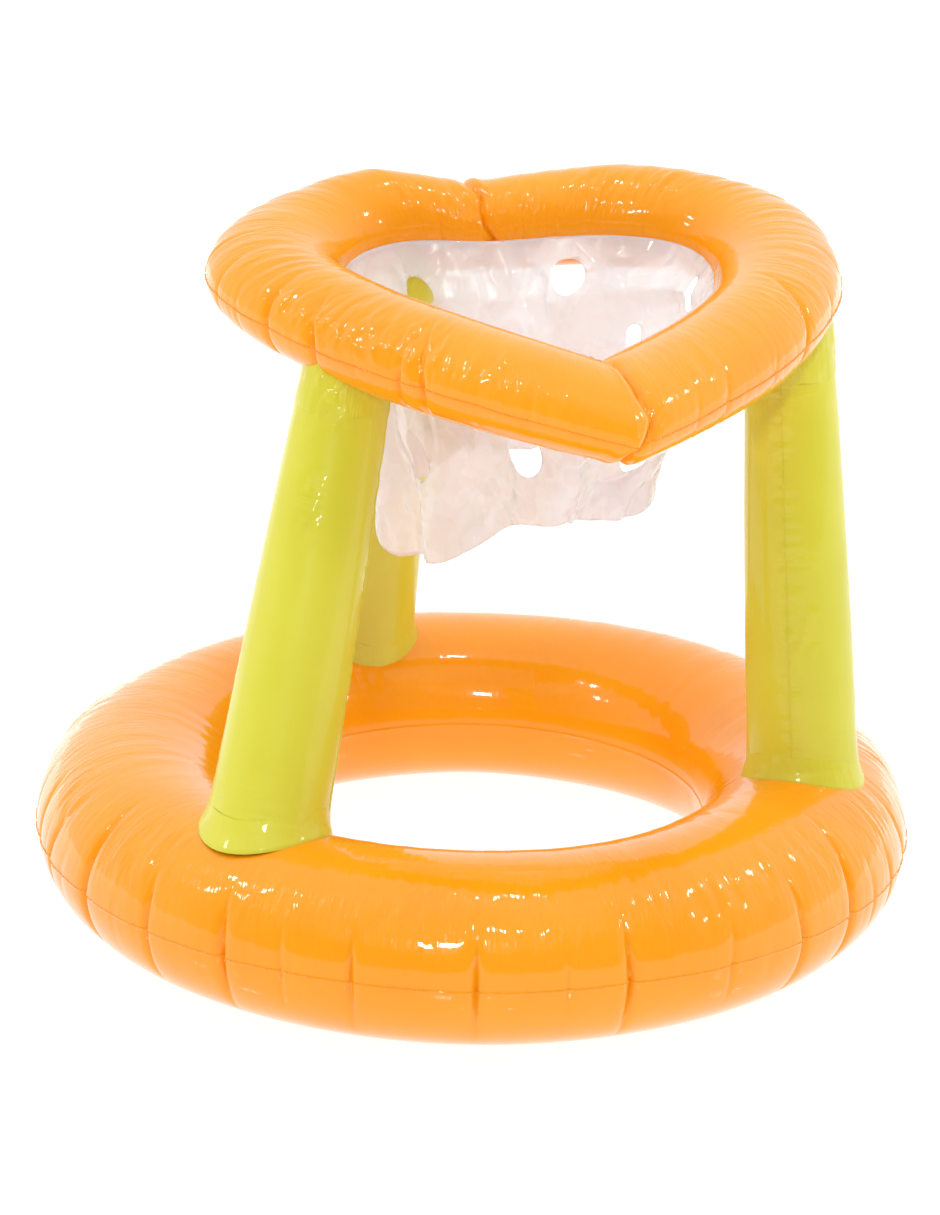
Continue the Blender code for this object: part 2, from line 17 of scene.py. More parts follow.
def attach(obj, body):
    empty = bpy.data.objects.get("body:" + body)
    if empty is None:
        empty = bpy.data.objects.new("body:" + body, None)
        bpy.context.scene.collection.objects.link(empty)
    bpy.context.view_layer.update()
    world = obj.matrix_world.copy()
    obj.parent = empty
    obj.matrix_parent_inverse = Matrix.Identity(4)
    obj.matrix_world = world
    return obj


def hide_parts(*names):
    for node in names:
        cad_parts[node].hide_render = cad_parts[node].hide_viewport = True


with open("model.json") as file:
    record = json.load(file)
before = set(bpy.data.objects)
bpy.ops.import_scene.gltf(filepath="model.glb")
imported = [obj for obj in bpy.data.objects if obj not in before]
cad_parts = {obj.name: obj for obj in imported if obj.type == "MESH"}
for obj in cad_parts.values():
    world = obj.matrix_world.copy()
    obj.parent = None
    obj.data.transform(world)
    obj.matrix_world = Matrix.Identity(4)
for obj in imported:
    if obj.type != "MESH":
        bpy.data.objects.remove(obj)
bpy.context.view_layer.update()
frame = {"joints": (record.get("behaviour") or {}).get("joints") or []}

MM = 0.001

# Welds: how far their rim stands out, and the ticks pressed across them
WELD_RIM = 0.6 * MM
WELD_HALF_THICKNESS = 0.25 * MM
TICK_INPUTS = {"Spacing": 3.2 * MM, "Along": 0.35 * MM, "Across": 0.5 * MM, "Height": 0.5 * MM, "Seed": 5}

# Blown-up tubes: the film is gathered in a band, (how far above the outer weld, half width), and
# the mesh is finer at the creases
GATHER_BAND = (45 * MM, 34 * MM)
CREASE_CROWDING = 1.9

# Base ring
BASE_OUTER_RADIUS = 0.335
BASE_INNER_RADIUS = 0.178
BASE_SEAM_HEIGHT = 0.066
BASE_CROWN_RISE = 0.070
BASE_STATIONS = 1000
CROWN_RADIUS = (BASE_OUTER_RADIUS + BASE_INNER_RADIUS) / 2
BASE_ARCH = (BASE_OUTER_RADIUS - BASE_INNER_RADIUS) / 2 - WELD_RIM

# The ring is softer where the front is: its inner shoulder lies lower there
BASE_SAG = 6 * MM
BASE_SAG_AZIMUTH = math.radians(-95)
BASE_SAG_SPREAD = math.radians(62)
BASE_SAG_ANGLE = math.radians(122)
BASE_SAG_ANGLE_SPREAD = math.radians(42)

# Its film is rucked in patches this far above the outer weld
BASE_RUCK_PLACE = 52 * MM
BASE_RUCK_WIDTH = 20 * MM

# Creases across the base ring's outer weld, as seen: (azimuth in degrees at the weld, lean in degrees
# at the crease's upper end, reach above and below the weld, width and depth in millimetres)
BASE_CREASE_GAIN = 1.3  # the film is thinner than the depths were judged for
BASE_CREASES = [
    (-171.5, -2.0, 60, 40, 3.2, 2.6),
    (-165.2, -1.0, 68, 44, 4.0, 4.2),
    (-159.0, 5.2, 78, 46, 4.4, 4.6),
    (-153.4, 2.0, 36, 26, 2.4, 1.5),
    (-146.4, 1.2, 84, 62, 5.0, 7.0),
    (-139.0, 1.0, 30, 40, 2.2, 1.2),
    (-132.8, 0.0, 54, 56, 4.4, 5.0),
    (-127.0, 0.0, 26, 30, 2.2, 1.1),
    (-120.6, -0.6, 56, 58, 4.8, 6.4),
    (-112.4, -0.6, 44, 34, 2.8, 2.4),
    (-103.7, -0.3, 48, 50, 3.8, 4.4),
    (-96.5, 0.3, 24, 26, 2.0, 1.0),
    (-89.0, 0.0, 46, 52, 4.6, 5.8),
    (-78.4, 0.2, 30, 30, 2.6, 1.9),
    (-70.5, -0.6, 56, 64, 4.8, 6.6),
    (-63.5, 0.0, 26, 30, 2.2, 1.0),
    (-57.0, 0.4, 30, 36, 2.8, 2.4),
    (-51.0, 0.4, 24, 28, 2.2, 1.2),
    (-44.8, -1.2, 54, 66, 4.2, 4.8),
    (-34.6, 0.8, 84, 66, 4.8, 6.6),
    (-28.5, -1.0, 40, 30, 2.6, 2.0),
    (-21.9, -1.6, 48, 36, 3.4, 3.6),
    (-13.9, -2.4, 70, 44, 4.0, 4.6),
    (-8.0, -2.0, 44, 30, 2.8, 2.2),
]

# Heart-shaped hoop, its seams' half outlines from the tip to the cleft
HEART_CENTRE = Vector((0.021, 0.035, 0.4895))
HEART_PITCH = math.radians(10.2)
HEART_ROLL = math.radians(-0.5)
HEART_TURN = math.radians(14.2)
HEART_OUTER_TIP = -0.336
HEART_OUTER_CLEFT = 0.103
HEART_INNER_TIP = -0.221
HEART_INNER_BACK = 0.036
HEART_OUTER_RIGHT = [(0.216, -0.1155), (0.2305, 0.026), (0.119, 0.105)]
HEART_OUTER_LEFT = [(0.198, -0.1095), (0.2285, 0.015), (0.121, 0.115)]
HEART_INNER_RIGHT = [(0.1275, -0.088), (0.1315, 0.007), (0.072, 0.036)]
HEART_INNER_LEFT = [(0.1095, -0.082), (0.129, -0.004), (0.074, 0.046)]
HEART_RISES = [0.030, 0.034, 0.034, 0.038, 0.035]
# Where the film stands prouder than the even tube: (station, millimetres, half width in stations,
# angle round the tube in degrees)
HEART_LIFTS = [(33.4, 7.0, 2.5, 82), (24.2, 4.0, 4.6, 86)]
# Where the film is rucked: (station, half width in stations, angle round the tube and its half width
# in degrees, millimetres)
HEART_RUCKS = [
    (46.6, 2.2, 42, 30, 1.5),
    (50.0, 2.4, 44, 30, 1.5),
    (53.2, 2.0, 48, 26, 1.1),
    (55.6, 1.0, 38, 20, 0.7),
    (30.6, 1.2, 132, 26, 1.3),
    (33.2, 0.8, 128, 20, 0.8),
    (24.6, 1.2, 118, 34, 1.2),
    (27.6, 1.0, 130, 24, 1.0),
    (21.6, 1.4, 112, 30, 1.0),
    (9.6, 1.0, 52, 30, 0.9),
    (3.4, 1.0, 40, 20, 0.6),
]
HEART_SPAN = 29  # numbered stations from the tip to the cleft, and as many back
HEART_RAIL_STEPS = 20  # points on a seam's curve from station to station
HEART_STATIONS = 1160

# Creases on the hoop: (station, lean in stations, reach above and below the weld, width and depth in
# millimetres)
HEART_OUTER_CREASES = [
    (2.6, 0.2, 24, 26, 2.2, 1.6),
    (4.0, 0.3, 34, 30, 2.6, 2.4),
    (6.6, 0.4, 26, 30, 2.4, 1.6),
    (8.9, 1.7, 76, 40, 3.2, 7.5),
    (11.2, 0.6, 34, 34, 2.4, 2.0),
    (13.5, 0.5, 46, 36, 3.0, 2.6),
    (15.6, 0.5, 50, 34, 2.6, 2.4),
    (17.8, 0.5, 58, 40, 3.4, 3.6),
    (19.9, 0.4, 48, 30, 2.6, 2.2),
    (22.0, 0.2, 54, 34, 3.0, 2.8),
    (24.6, -0.2, 42, 34, 3.0, 2.4),
    (27.0, -0.3, 34, 30, 2.6, 1.8),
    (32.6, 0.4, 40, 34, 3.0, 2.6),
    (35.0, 0.5, 52, 34, 3.4, 3.4),
    (36.9, 0.4, 56, 30, 2.8, 2.6),
    (38.6, 0.3, 60, 34, 3.2, 3.2),
    (40.4, 0.1, 58, 36, 2.8, 2.8),
    (42.2, -0.2, 54, 36, 3.0, 2.8),
    (43.5, -0.4, 46, 30, 2.4, 2.0),
    (44.9, -0.5, 62, 40, 3.4, 6.5),
    (46.9, -0.9, 60, 36, 3.6, 7.0),
    (48.6, -0.3, 28, 26, 2.4, 1.5),
    (50.15, 0.0, 24, 40, 2.8, 5.0),
    (51.0, -0.5, 64, 38, 3.2, 6.5),
    (52.9, -0.1, 26, 26, 2.2, 1.2),
    (54.6, 0.1, 24, 28, 2.4, 1.6),
    (56.3, 0.1, 22, 22, 2.0, 1.0),
]
HEART_INNER_CREASES = [
    (4.5, 0.2, 26, 30, 2.4, 1.8),
    (7.4, 0.1, 20, 22, 2.0, 1.0),
    (10.6, 0.0, 24, 26, 2.4, 1.4),
    (15.1, 0.1, 22, 24, 2.4, 1.2),
    (21.6, 0.0, 26, 28, 2.4, 1.6),
    (26.0, 0.0, 24, 24, 2.2, 1.4),
    (27.8, 0.0, 30, 20, 2.2, 2.0),
    (32.0, 0.2, 30, 24, 2.6, 2.4),
    (36.4, 0.0, 22, 24, 2.4, 1.2),
    (41.4, 0.0, 24, 26, 2.4, 1.4),
    (47.5, 0.0, 22, 24, 2.4, 1.2),
    (53.5, 0.0, 26, 28, 2.4, 1.6),
]

# Folds right round the hoop's tube at its tip and its cleft: millimetres deep, angles round the tube
# in degrees from the outer weld over the top, and the station that the fold passes at each of them
HEART_FOLDS = [
    (
        8.5,
        (-180, -120, -60, -15, 7, 30, 57, 103, 125, 150, 180),
        (0.2, -0.5, -0.5, -0.1, 0.4, 0.75, 0.45, 0.3, -0.7, -0.5, 0.2),
    ),
    (
        6.0,
        (-180, -90, 0, 60, 99, 117, 144, 164, 180),
        (29.3, 29.4, 29.2, 29.9, 29.9, 29.6, 29.8, 29.7, 29.3),
    ),
]

# Legs: each seam's direction and rucks in degrees, and the hoop's station over the leg. Rucks are
# (share of the way up, angle, half height in shares, half width in degrees, millimetres).
LEG_BULGE = 1.2 * MM
LEG_STEPS = 190
LEG_AROUND = 132
LEG_UV_RADIUS = 0.0405  # turns angles into metres for the film's gathers
LEG_TOP_SLACK = 0.22  # share of a leg at its top where the film wrinkles
LEG_FOOT_SLACK = 0.14
LEGS = {
    "left": {
        "foot": (-0.1432, -0.2020, 0.136),
        "top": (-0.0885, -0.1020, 0.4659),
        "radii": (0.0423, 0.0305),
        "seam": -188.0,
        "station": 46.05,
        "rucks": [(0.63, 84, 0.06, 16, 1.3), (0.93, 100, 0.08, 46, 4.0), (0.80, 88, 0.05, 14, 1.2)],
    },
    "right": {
        "foot": (0.2458, -0.0680, 0.136),
        "top": (0.2196, -0.0320, 0.4757),
        "radii": (0.0413, 0.0310),
        "seam": -106.0,
        "station": 12.18,
        "rucks": [(0.30, 10, 0.05, 26, 0.9), (0.90, 20, 0.08, 60, 0.9)],
    },
    "back": {
        "foot": (-0.0933, 0.2190, 0.136),
        "top": (-0.0601, 0.0974, 0.5014),
        "radii": (0.0405, 0.0330),
        "seam": 22.0,
        "station": 32.33,
        "rucks": [(0.20, 200, 0.08, 50, 0.8)],
    },
}
FOOT_CUFF_HEIGHT = 0.018
FOOT_CUFF_FLARE = 0.0036
TOP_CUFF_HEIGHT = 0.010
CUFF_FILM = 0.5 * MM
CUFF_TURNS = np.linspace(0, 2 * math.pi, 144, endpoint=False)

# Air valves, on the skins at a share of the way round and at an angle over the outer weld
BASE_VALVE_SHARE = 13 / 60  # of the way round from the right side
BASE_VALVE_SLOPE = math.radians(30)
HOOP_VALVE_SHARE = 23 / 58  # of the way round from the tip over the right side
HOOP_VALVE_SLOPE = math.radians(26)
VALVE_CALM = 0.021  # the film lies even this far round a valve
VALVE_DENT = 3.2 * MM  # how deep the flange presses the film in, and how wide
VALVE_DENT_REACH = 9 * MM
VALVE_HINGE = Vector((-0.012, 0, 0.01005))  # the plug's hinge from the flange's middle
# Skin radius that each flange is draped over
VALVE_DRAPES = {"base_valve": 0.072, "hoop_valve": 0.037}
# Turned outlines as (radius, height), and the strap or lug from corner to corner, in millimetres
VALVE_PARTS = {
    "flange": (
        [(5.3, -2), (5.3, 2.2), (5.5, 2.5), (6.9, 2.5), (7.6, 2.2), (8.6, 1.3), (9.6, 0.9)]
        + [(r + side / 4, 0.95 - abs(side) / 5) for r in (10.4, 11.4, 12.4) for side in (-1, 0, 1)]
        + [(13.6, 0.7), (14.0, 0.45), (14.0, -2)],
        None,
    ),
    "stem": (
        [(3.8, -12), (5, -12), (5, 7.2), (5.4, 7.8), (6.8, 7.8), (6.8, 9.2), (3.8, 9.2)],
        ((-13.5, -2.25, 7.8), (-4.9, 2.25, 9.2)),
    ),
    "plug": (
        [(0, 4.7), (2.3, 4.7), (2.7, 5.3), (2.9, 7.4), (3.3, 8.0), (3.5, 9.5), (5.5, 9.5), (5.5, 10.6)]
        + [(3.6, 10.6), (3.2, 10.4), (0, 10.4)],
        ((-12.6, -2.0, 9.5), (-5.2, 2.0, 10.6)),
    ),
    "flap": ([(0, -12.9), (4.2, -12.9), (4.2, -12.3), (2.6, -12.3), (0, -12.5)], None),
}

# Net
NET_DROP = 0.145
NET_DROP_SLANT = 0.034
NET_HEM_WAVE = 0.009
NET_TAPER = 0.030
# Where the hem hangs lower or higher: (station, half width in stations, millimetres)
NET_HEM_SPOTS = [(54.5, 3.0, -12), (58, 2.2, -16), (3, 2.0, -7), (47.5, 2.4, 10), (41.3, 2.2, 13)]
NET_SWING = (9, 3.2, 14)  # and where it swings out
NET_TENT = (25.4, 28)  # the tent-shaped fold at the rear: station and millimetres inwards
# Where slack film is gathered, so that the hole there closes up:
# (station, share of the way down, width kept, height kept, share it moves up)
NET_GATHERS = [
    (25.4, 0.24, 0.8, 0.55, 0.09),
    (17.0, 0.24, 0.15, 0.5, 0.0),
    (21.2, 0.58, 0.2, 0.4, 0.0),
    (34.3, 0.24, 0.5, 0.7, 0.0),
]
NET_GATHER_REACH = (2.4, 0.22)  # in stations and in share of the way down
NET_FOLDS = 7
NET_FOLD_DEPTH = 0.009
NET_FILM = 0.5 * MM
NET_COLUMNS = 420
NET_ROWS = 64
NET_HOLE_RADIUS = 0.0175
NET_HOLES_PER_ROW = 7
NET_HOLE_SHARES = [0.24, 0.58]

# Studio: (name, place, aimed at, size, watts) of each soft lamp
LAMPS = [
    ("key", (-0.25, -2.9, 1.75), (0, 0, 0.25), (0.36, 0.24), 14),
    ("second", (0.45, -2.4, 2.5), (0, 0, 0.25), (0.26, 0.18), 6),
    ("left", (-2.2, -0.7, 1.75), (0, 0, 0.25), (0.24, 0.24), 4),
    ("left_high", (-1.64, -0.39, 2.16), (-0.08, -0.2, 0.48), (0.26, 0.18), 5),
    ("right", (2.3, -0.9, 1.45), (0, 0, 0.25), (0.18, 0.24), 2.5),
    ("right_high", (1.72, 0.0, 2.02), (0.12, -0.2, 0.47), (0.3, 0.2), 5),
    ("overhead", (0.25, -0.1, 2.6), (0, 0, 0.2), (0.16, 0.12), 2.4),
]
FLOOR_REACH = 14.0

# Camera, from the fit to the base ring's and the hoop's outlines
CAMERA_PLACE = Vector((0, -2.1606, 0.9383))
CAMERA_ANGLES = (18.2074, -0.1263, 1.2889)  # pitch down, yaw and roll in degrees
CAMERA_FOCAL_SHARE = 3000 / 1215  # of the picture's height
SENSOR_MM = 36


def tint(code):
    """An sRGB hex colour as the linear values that shaders take."""
    parts = [int(code[k : k + 2], 16) / 255 for k in (1, 3, 5)]
    return (*[c / 12.92 if c <= 0.04045 else ((c + 0.055) / 1.055) ** 2.4 for c in parts], 1.0)


def add_node(tree, kind, values=None, links=None, **settings):
    """A shader or geometry node with its settings, its constant inputs and its incoming links, each
    from a socket or from a node's first output."""
    made = tree.nodes.new(kind)
    for name, value in settings.items():
        setattr(made, name, value)
    for name, value in (values or {}).items():
        made.inputs[name].default_value = value
    for name, source in (links or {}).items():
        first = isinstance(source, bpy.types.Node)
        tree.links.new(source.outputs[0] if first else source, made.inputs[name])
    return made


def placed(name, data):
    """A new object for a mesh, a lamp or a camera."""
    made = bpy.data.objects.new(name, data)
    bpy.context.scene.collection.objects.link(made)
    return made


def hump(x, centre, width, power=2):
    """A smooth hump over x, 1 at its centre."""
    return np.exp(-(np.abs((x - centre) / width) ** power))


def wrapped(gap, length):
    """A gap along a closed seam, counted the shorter way round."""
    return (gap + length / 2) % length - length / 2


def new_material(name, values):
    """A material with these shader inputs: itself, its nodes, its shader and the place in space."""
    made = bpy.data.materials.new(name)
    made.use_nodes = True
    tree = made.node_tree
    shader = tree.nodes["Principled BSDF"]
    for socket, value in values.items():
        shader.inputs[socket].default_value = value
    return made, tree, shader, add_node(tree, "ShaderNodeTexCoord").outputs["Object"]


def noise(tree, place, scale, detail):
    return add_node(tree, "ShaderNodeTexNoise", {"Scale": scale, "Detail": detail}, {"Vector": place})


def toned(tree, amount, stops):
    """Colours over an amount, from (position, colour) stops."""
    made = add_node(tree, "ShaderNodeValToRGB", links={"Fac": amount})
    ramp = made.color_ramp.elements
    for position, code in stops[1:-1]:
        ramp.new(position)
    for element, (position, code) in zip(ramp, stops):
        element.position = position
        element.color = tint(code)
    return made.outputs["Color"]


def remapped(tree, amount, low, high, to_low=0.0, to_high=1.0):
    limits = {"From Min": low, "From Max": high, "To Min": to_low, "To Max": to_high}
    return add_node(tree, "ShaderNodeMapRange", limits, {"Value": amount}).outputs["Result"]


def pvc_film(name, tones, roughness, coat, specular):
    """Plasticised PVC film, calendered and pumped tight: an even bright colour under a wet-looking
    gloss, with fine gathers that break up the reflections where the film is slack."""
    values = {"IOR": 1.53, "Specular IOR Level": specular, "Coat Weight": coat, "Coat Roughness": 0.02}
    made, tree, shader, place = new_material(name, values)
    cloud = noise(tree, place, 9.0, 3.0)
    colour = toned(tree, cloud, list(zip((0.30, 0.5, 0.75), tones)))
    haze = noise(tree, place, 34.0, 4.0)
    gloss = remapped(tree, haze, 0.3, 0.7, roughness * 0.8, roughness * 1.25)
    tree.links.new(colour, shader.inputs["Base Color"])
    tree.links.new(gloss, shader.inputs["Roughness"])
    # U runs along the seams and V across them, both in metres: the gathers lie across the seams,
    # 6 mm apart with finer ones between them, and the slack attribute says where the film has them.
    surface = add_node(tree, "ShaderNodeUVMap", uv_map="seam_metres")
    wide = add_node(tree, "ShaderNodeMapping", {"Scale": (170.0, 46.0, 1.0)}, {"Vector": surface})
    gather = noise(tree, wide, 1.0, 2.0)
    slack = add_node(tree, "ShaderNodeAttribute", attribute_name="slack")
    links = {"Height": gather, "Strength": slack.outputs["Fac"]}
    for depth, socket in ((2.2, "Normal"), (0.35, "Coat Normal")):
        bump = add_node(tree, "ShaderNodeBump", {"Distance": depth * MM}, links)
        tree.links.new(bump.outputs["Normal"], shader.inputs[socket])
    return made


def smooth_noise(u, v, cells, rows, seed):
    """Even random ripples from -1 to 1: periodic over u from 0 to 1, with v in cells of its own."""
    rng = np.random.default_rng(seed)
    field = rng.uniform(-1, 1, (cells, rows + 2))
    x = (u % 1.0) * cells
    y = np.clip(v, 0, 1) * rows
    i = np.floor(x).astype(int)
    j = np.floor(y).astype(int)
    a = x - i
    b = y - j
    a = a * a * (3 - 2 * a)
    b = b * b * (3 - 2 * b)
    i0 = i % cells
    i1 = (i + 1) % cells
    low = field[i0, j] * (1 - a) + field[i1, j] * a
    high = field[i0, j + 1] * (1 - a) + field[i1, j + 1] * a
    return low * (1 - b) + high * b


def grid_object(name, points, uv, finish, close_rows, slack, caps=False):
    """A mesh over points[column, row]; columns join round, and rows too when close_rows is set."""
    columns, rows = points.shape[:2]
    last = rows if close_rows else rows - 1
    c, r = np.meshgrid(np.arange(columns), np.arange(last), indexing="ij")
    c1 = (c + 1) % columns
    r1 = (r + 1) % rows
    quads = np.stack([c * rows + r, c1 * rows + r, c1 * rows + r1, c * rows + r1], -1).reshape(-1, 4)
    mesh = bpy.data.meshes.new(name)
    mesh.from_pydata(points.reshape(-1, 3).tolist(), [], quads.tolist())
    if caps:
        bm = bmesh.new()
        bm.from_mesh(mesh)
        bmesh.ops.holes_fill(bm, edges=[e for e in bm.edges if e.is_boundary], sides=0)
        bm.to_mesh(mesh)
        bm.free()
    layer = mesh.uv_layers.new(name="seam_metres")
    steps = [np.stack([c + i, r + j], -1) for i, j in ((0, 0), (1, 0), (1, 1), (0, 1))]
    corners = np.stack(steps, 2).reshape(-1, 2)
    flat = np.zeros((len(mesh.loops), 2))
    flat[: len(corners)] = uv[corners[:, 0], corners[:, 1]]
    layer.data.foreach_set("uv", flat.ravel())
    loose = mesh.attributes.new("slack", "FLOAT", "POINT")
    values = np.zeros(len(mesh.vertices))
    values[: columns * rows] = slack.ravel()
    loose.data.foreach_set("value", values)
    mesh.materials.append(finish)
    made = placed(name, mesh)
    outward(made)
    mesh.shade_smooth()
    mesh.set_sharp_from_angle(angle=math.radians(60))
    return made


def outward(obj):
    """Turns the faces outwards."""
    bm = bmesh.new()
    bm.from_mesh(obj.data)
    bmesh.ops.recalc_face_normals(bm, faces=bm.faces)
    bm.to_mesh(obj.data)
    bm.free()


def section_angles(outer_step, inner_step, wide_step):
    """Angles over a tube from near its outer weld to near its inner one, closer at the welds."""
    first = 0.010
    widening = 0.9
    made = [first]
    while made[-1] < math.pi - first:
        a = made[-1]
        near_outer = outer_step + (wide_step - outer_step) * min(a / widening, 1)
        near_inner = inner_step + (wide_step - inner_step) * min((math.pi - a) / widening, 1)
        made.append(a + min(near_outer, near_inner))
    made[-1] = math.pi - first
    return made


def seam_rows(top, bottom):
    """(angle, sideways, lift) rows round a whole tube, with the weld's rim at both seams."""
    t = WELD_HALF_THICKNESS
    rows = [(0.0, WELD_RIM, t), (0.0, WELD_RIM / 2, t)]
    rows += [(a, 0.0, 0.0) for a in top]
    rows += [(math.pi, -WELD_RIM / 2, t), (math.pi, -WELD_RIM, t)]
    rows += [(math.pi, -WELD_RIM, -t), (math.pi, -WELD_RIM / 2, -t)]
    rows += [(2 * math.pi - a, 0.0, 0.0) for a in reversed(bottom)]
    rows += [(2 * math.pi, WELD_RIM / 2, -t), (2 * math.pi, WELD_RIM, -t)]
    return np.array(rows)


def tube_points(track, rows, drawn_in):
    """Places of a seamed tube's film: one column for each station, one row for each angle."""
    theta, extra, lift = rows.T
    arch = track["half"] - WELD_RIM
    rise = np.where(np.sin(theta) >= 0, track["top"][:, None], track["bottom"][:, None])
    side = arch[:, None] * np.cos(theta) + extra
    high = rise * np.sin(theta) + lift
    nx = np.cos(theta) / arch[:, None]
    nz = np.sin(theta) / rise
    size = np.sqrt(nx**2 + nz**2)
    side = side - drawn_in * nx / size
    high = high - drawn_in * nz / size
    made = track["mid"][:, None, :] + side[..., None] * track["across"][:, None, :]
    return made + high[..., None] * track["up"][:, None, :]


def pucker(gap, width):
    """Cross-profile of a crease: a sharp V in the middle of a wide shallow hollow."""
    away = np.sqrt(gap**2 + (0.5 * MM) ** 2)
    return 0.75 * np.exp(-away / (0.55 * width)) + 0.25 * np.exp(-away / (3.4 * width))


def crease_field(along, length, q, creases):
    """How far the film is drawn in at each (station, row) by creases across one seam.

    along is the distance along the seam and q the signed distance from it, both in metres.
    """
    field = np.zeros((len(along), len(q)))
    for place, lean, up, down, width, depth in creases:
        reach = np.where(q >= 0, up, down) * MM
        share = np.clip(np.abs(q) / reach, 0, 1)
        line = place + lean * np.where(q >= 0, np.abs(q) / (up * MM), 0)
        gap = wrapped(along[:, None] - line, length)
        leaf = width * MM * (0.6 + 1.2 * share * (1 - share))
        field += depth * MM * (1 - share**1.5) ** 1.2 * pucker(gap, leaf)
    return field


def small_creases(length, apart, seed, reach=(14, 40)):
    """Fine creases all along a weld, at uneven places."""
    rng = np.random.default_rng(seed)
    made = []
    place = 0.0
    while place < length:
        strong = rng.uniform(0, 1) ** 2
        lean = rng.uniform(-3, 3) * MM
        up, down = (reach[0] + (reach[1] - reach[0]) * rng.uniform(0.2, 1, 2)).tolist()
        made.append((place, lean, up, down, 1.2 + 0.8 * strong, 0.25 + 0.65 * strong))
        place += apart * rng.uniform(0.45, 1.6)
    return made


def fold_field(along, metre, length, theta):
    """How far the film is drawn in by the hoop's folds: steep on one side, slow on the other."""
    angle = np.degrees(theta)
    angle = np.where(angle > 180, angle - 360, angle)
    field = np.zeros((len(along), len(theta)))
    for depth, turns, stations in HEART_FOLDS:
        line = metre(np.interp(angle, turns, stations))
        gap = wrapped(along[:, None] - line, length)
        away = np.sqrt(gap**2 + (0.4 * MM) ** 2)
        steep = np.where(gap < 0, 1.8 * MM, 4.6 * MM)
        lip = 0.16 * hump(gap, -6.5 * MM, 3.5 * MM)
        field += depth * MM * (0.75 * np.exp(-away / steep) + 0.25 * np.exp(-away / (14 * MM)) - lip)
    return field


def station_places(length, centres, count, spread):
    """Places along a closed seam, closer together where creases are."""
    fine = np.linspace(0, length, 6000, endpoint=False)
    weight = np.ones_like(fine)
    for place in centres:
        weight = np.maximum(weight, 1 + CREASE_CROWDING * hump(wrapped(fine - place, length), 0, spread))
    total = np.concatenate([[0], np.cumsum(weight)])
    return np.interp(np.arange(count) / count * total[-1], total, np.append(fine, length))


def section_distance(theta, half, rise):
    """Signed distances along the film from the outer seam and from the inner seam, and the arc."""
    folded = np.where(theta > math.pi, 2 * math.pi - theta, theta)
    sign = np.where(theta > math.pi, -1.0, 1.0)
    fine = np.linspace(0, math.pi, 721)
    step = np.sqrt((half * np.sin(fine)) ** 2 + (rise * np.cos(fine)) ** 2)
    length = np.concatenate([[0], np.cumsum((step[1:] + step[:-1]) / 2 * (fine[1] - fine[0]))])
    outer = np.interp(folded, fine, length)
    return sign * outer, sign * (length[-1] - outer), length[-1]


def seam_uv(along, length, q, across):
    """U along the seam and V across the film, both in metres."""
    columns = np.append(along, length)
    rows = np.append(np.cumsum(np.concatenate([[0], np.abs(np.diff(q))])), 2 * across)
    return np.stack(np.meshgrid(columns, rows, indexing="ij"), -1)


def settled(drawn, gap, theta, q, slope):
    """The film's draw with a valve on it: even round the flange, and pressed in under it."""
    upper = slice(2, 2 + len(theta) // 3)
    across = q - np.interp(slope, theta[upper], q[upper])
    gap = gap[:, None]
    even = hump(gap, 0, VALVE_CALM, 4) * hump(across, 0, VALVE_CALM, 4)
    pressed = hump(gap, 0, VALVE_DENT_REACH) * hump(across, 0, VALVE_DENT_REACH)
    return drawn * (1 - even) + VALVE_DENT * pressed


def base_sag(azimuth, theta):
    """How far the ring's inner shoulder is pressed in between the front and the left leg."""
    round_it = hump(azimuth, BASE_SAG_AZIMUTH, BASE_SAG_SPREAD, 4)
    return BASE_SAG * round_it * hump(theta, BASE_SAG_ANGLE, BASE_SAG_ANGLE_SPREAD)


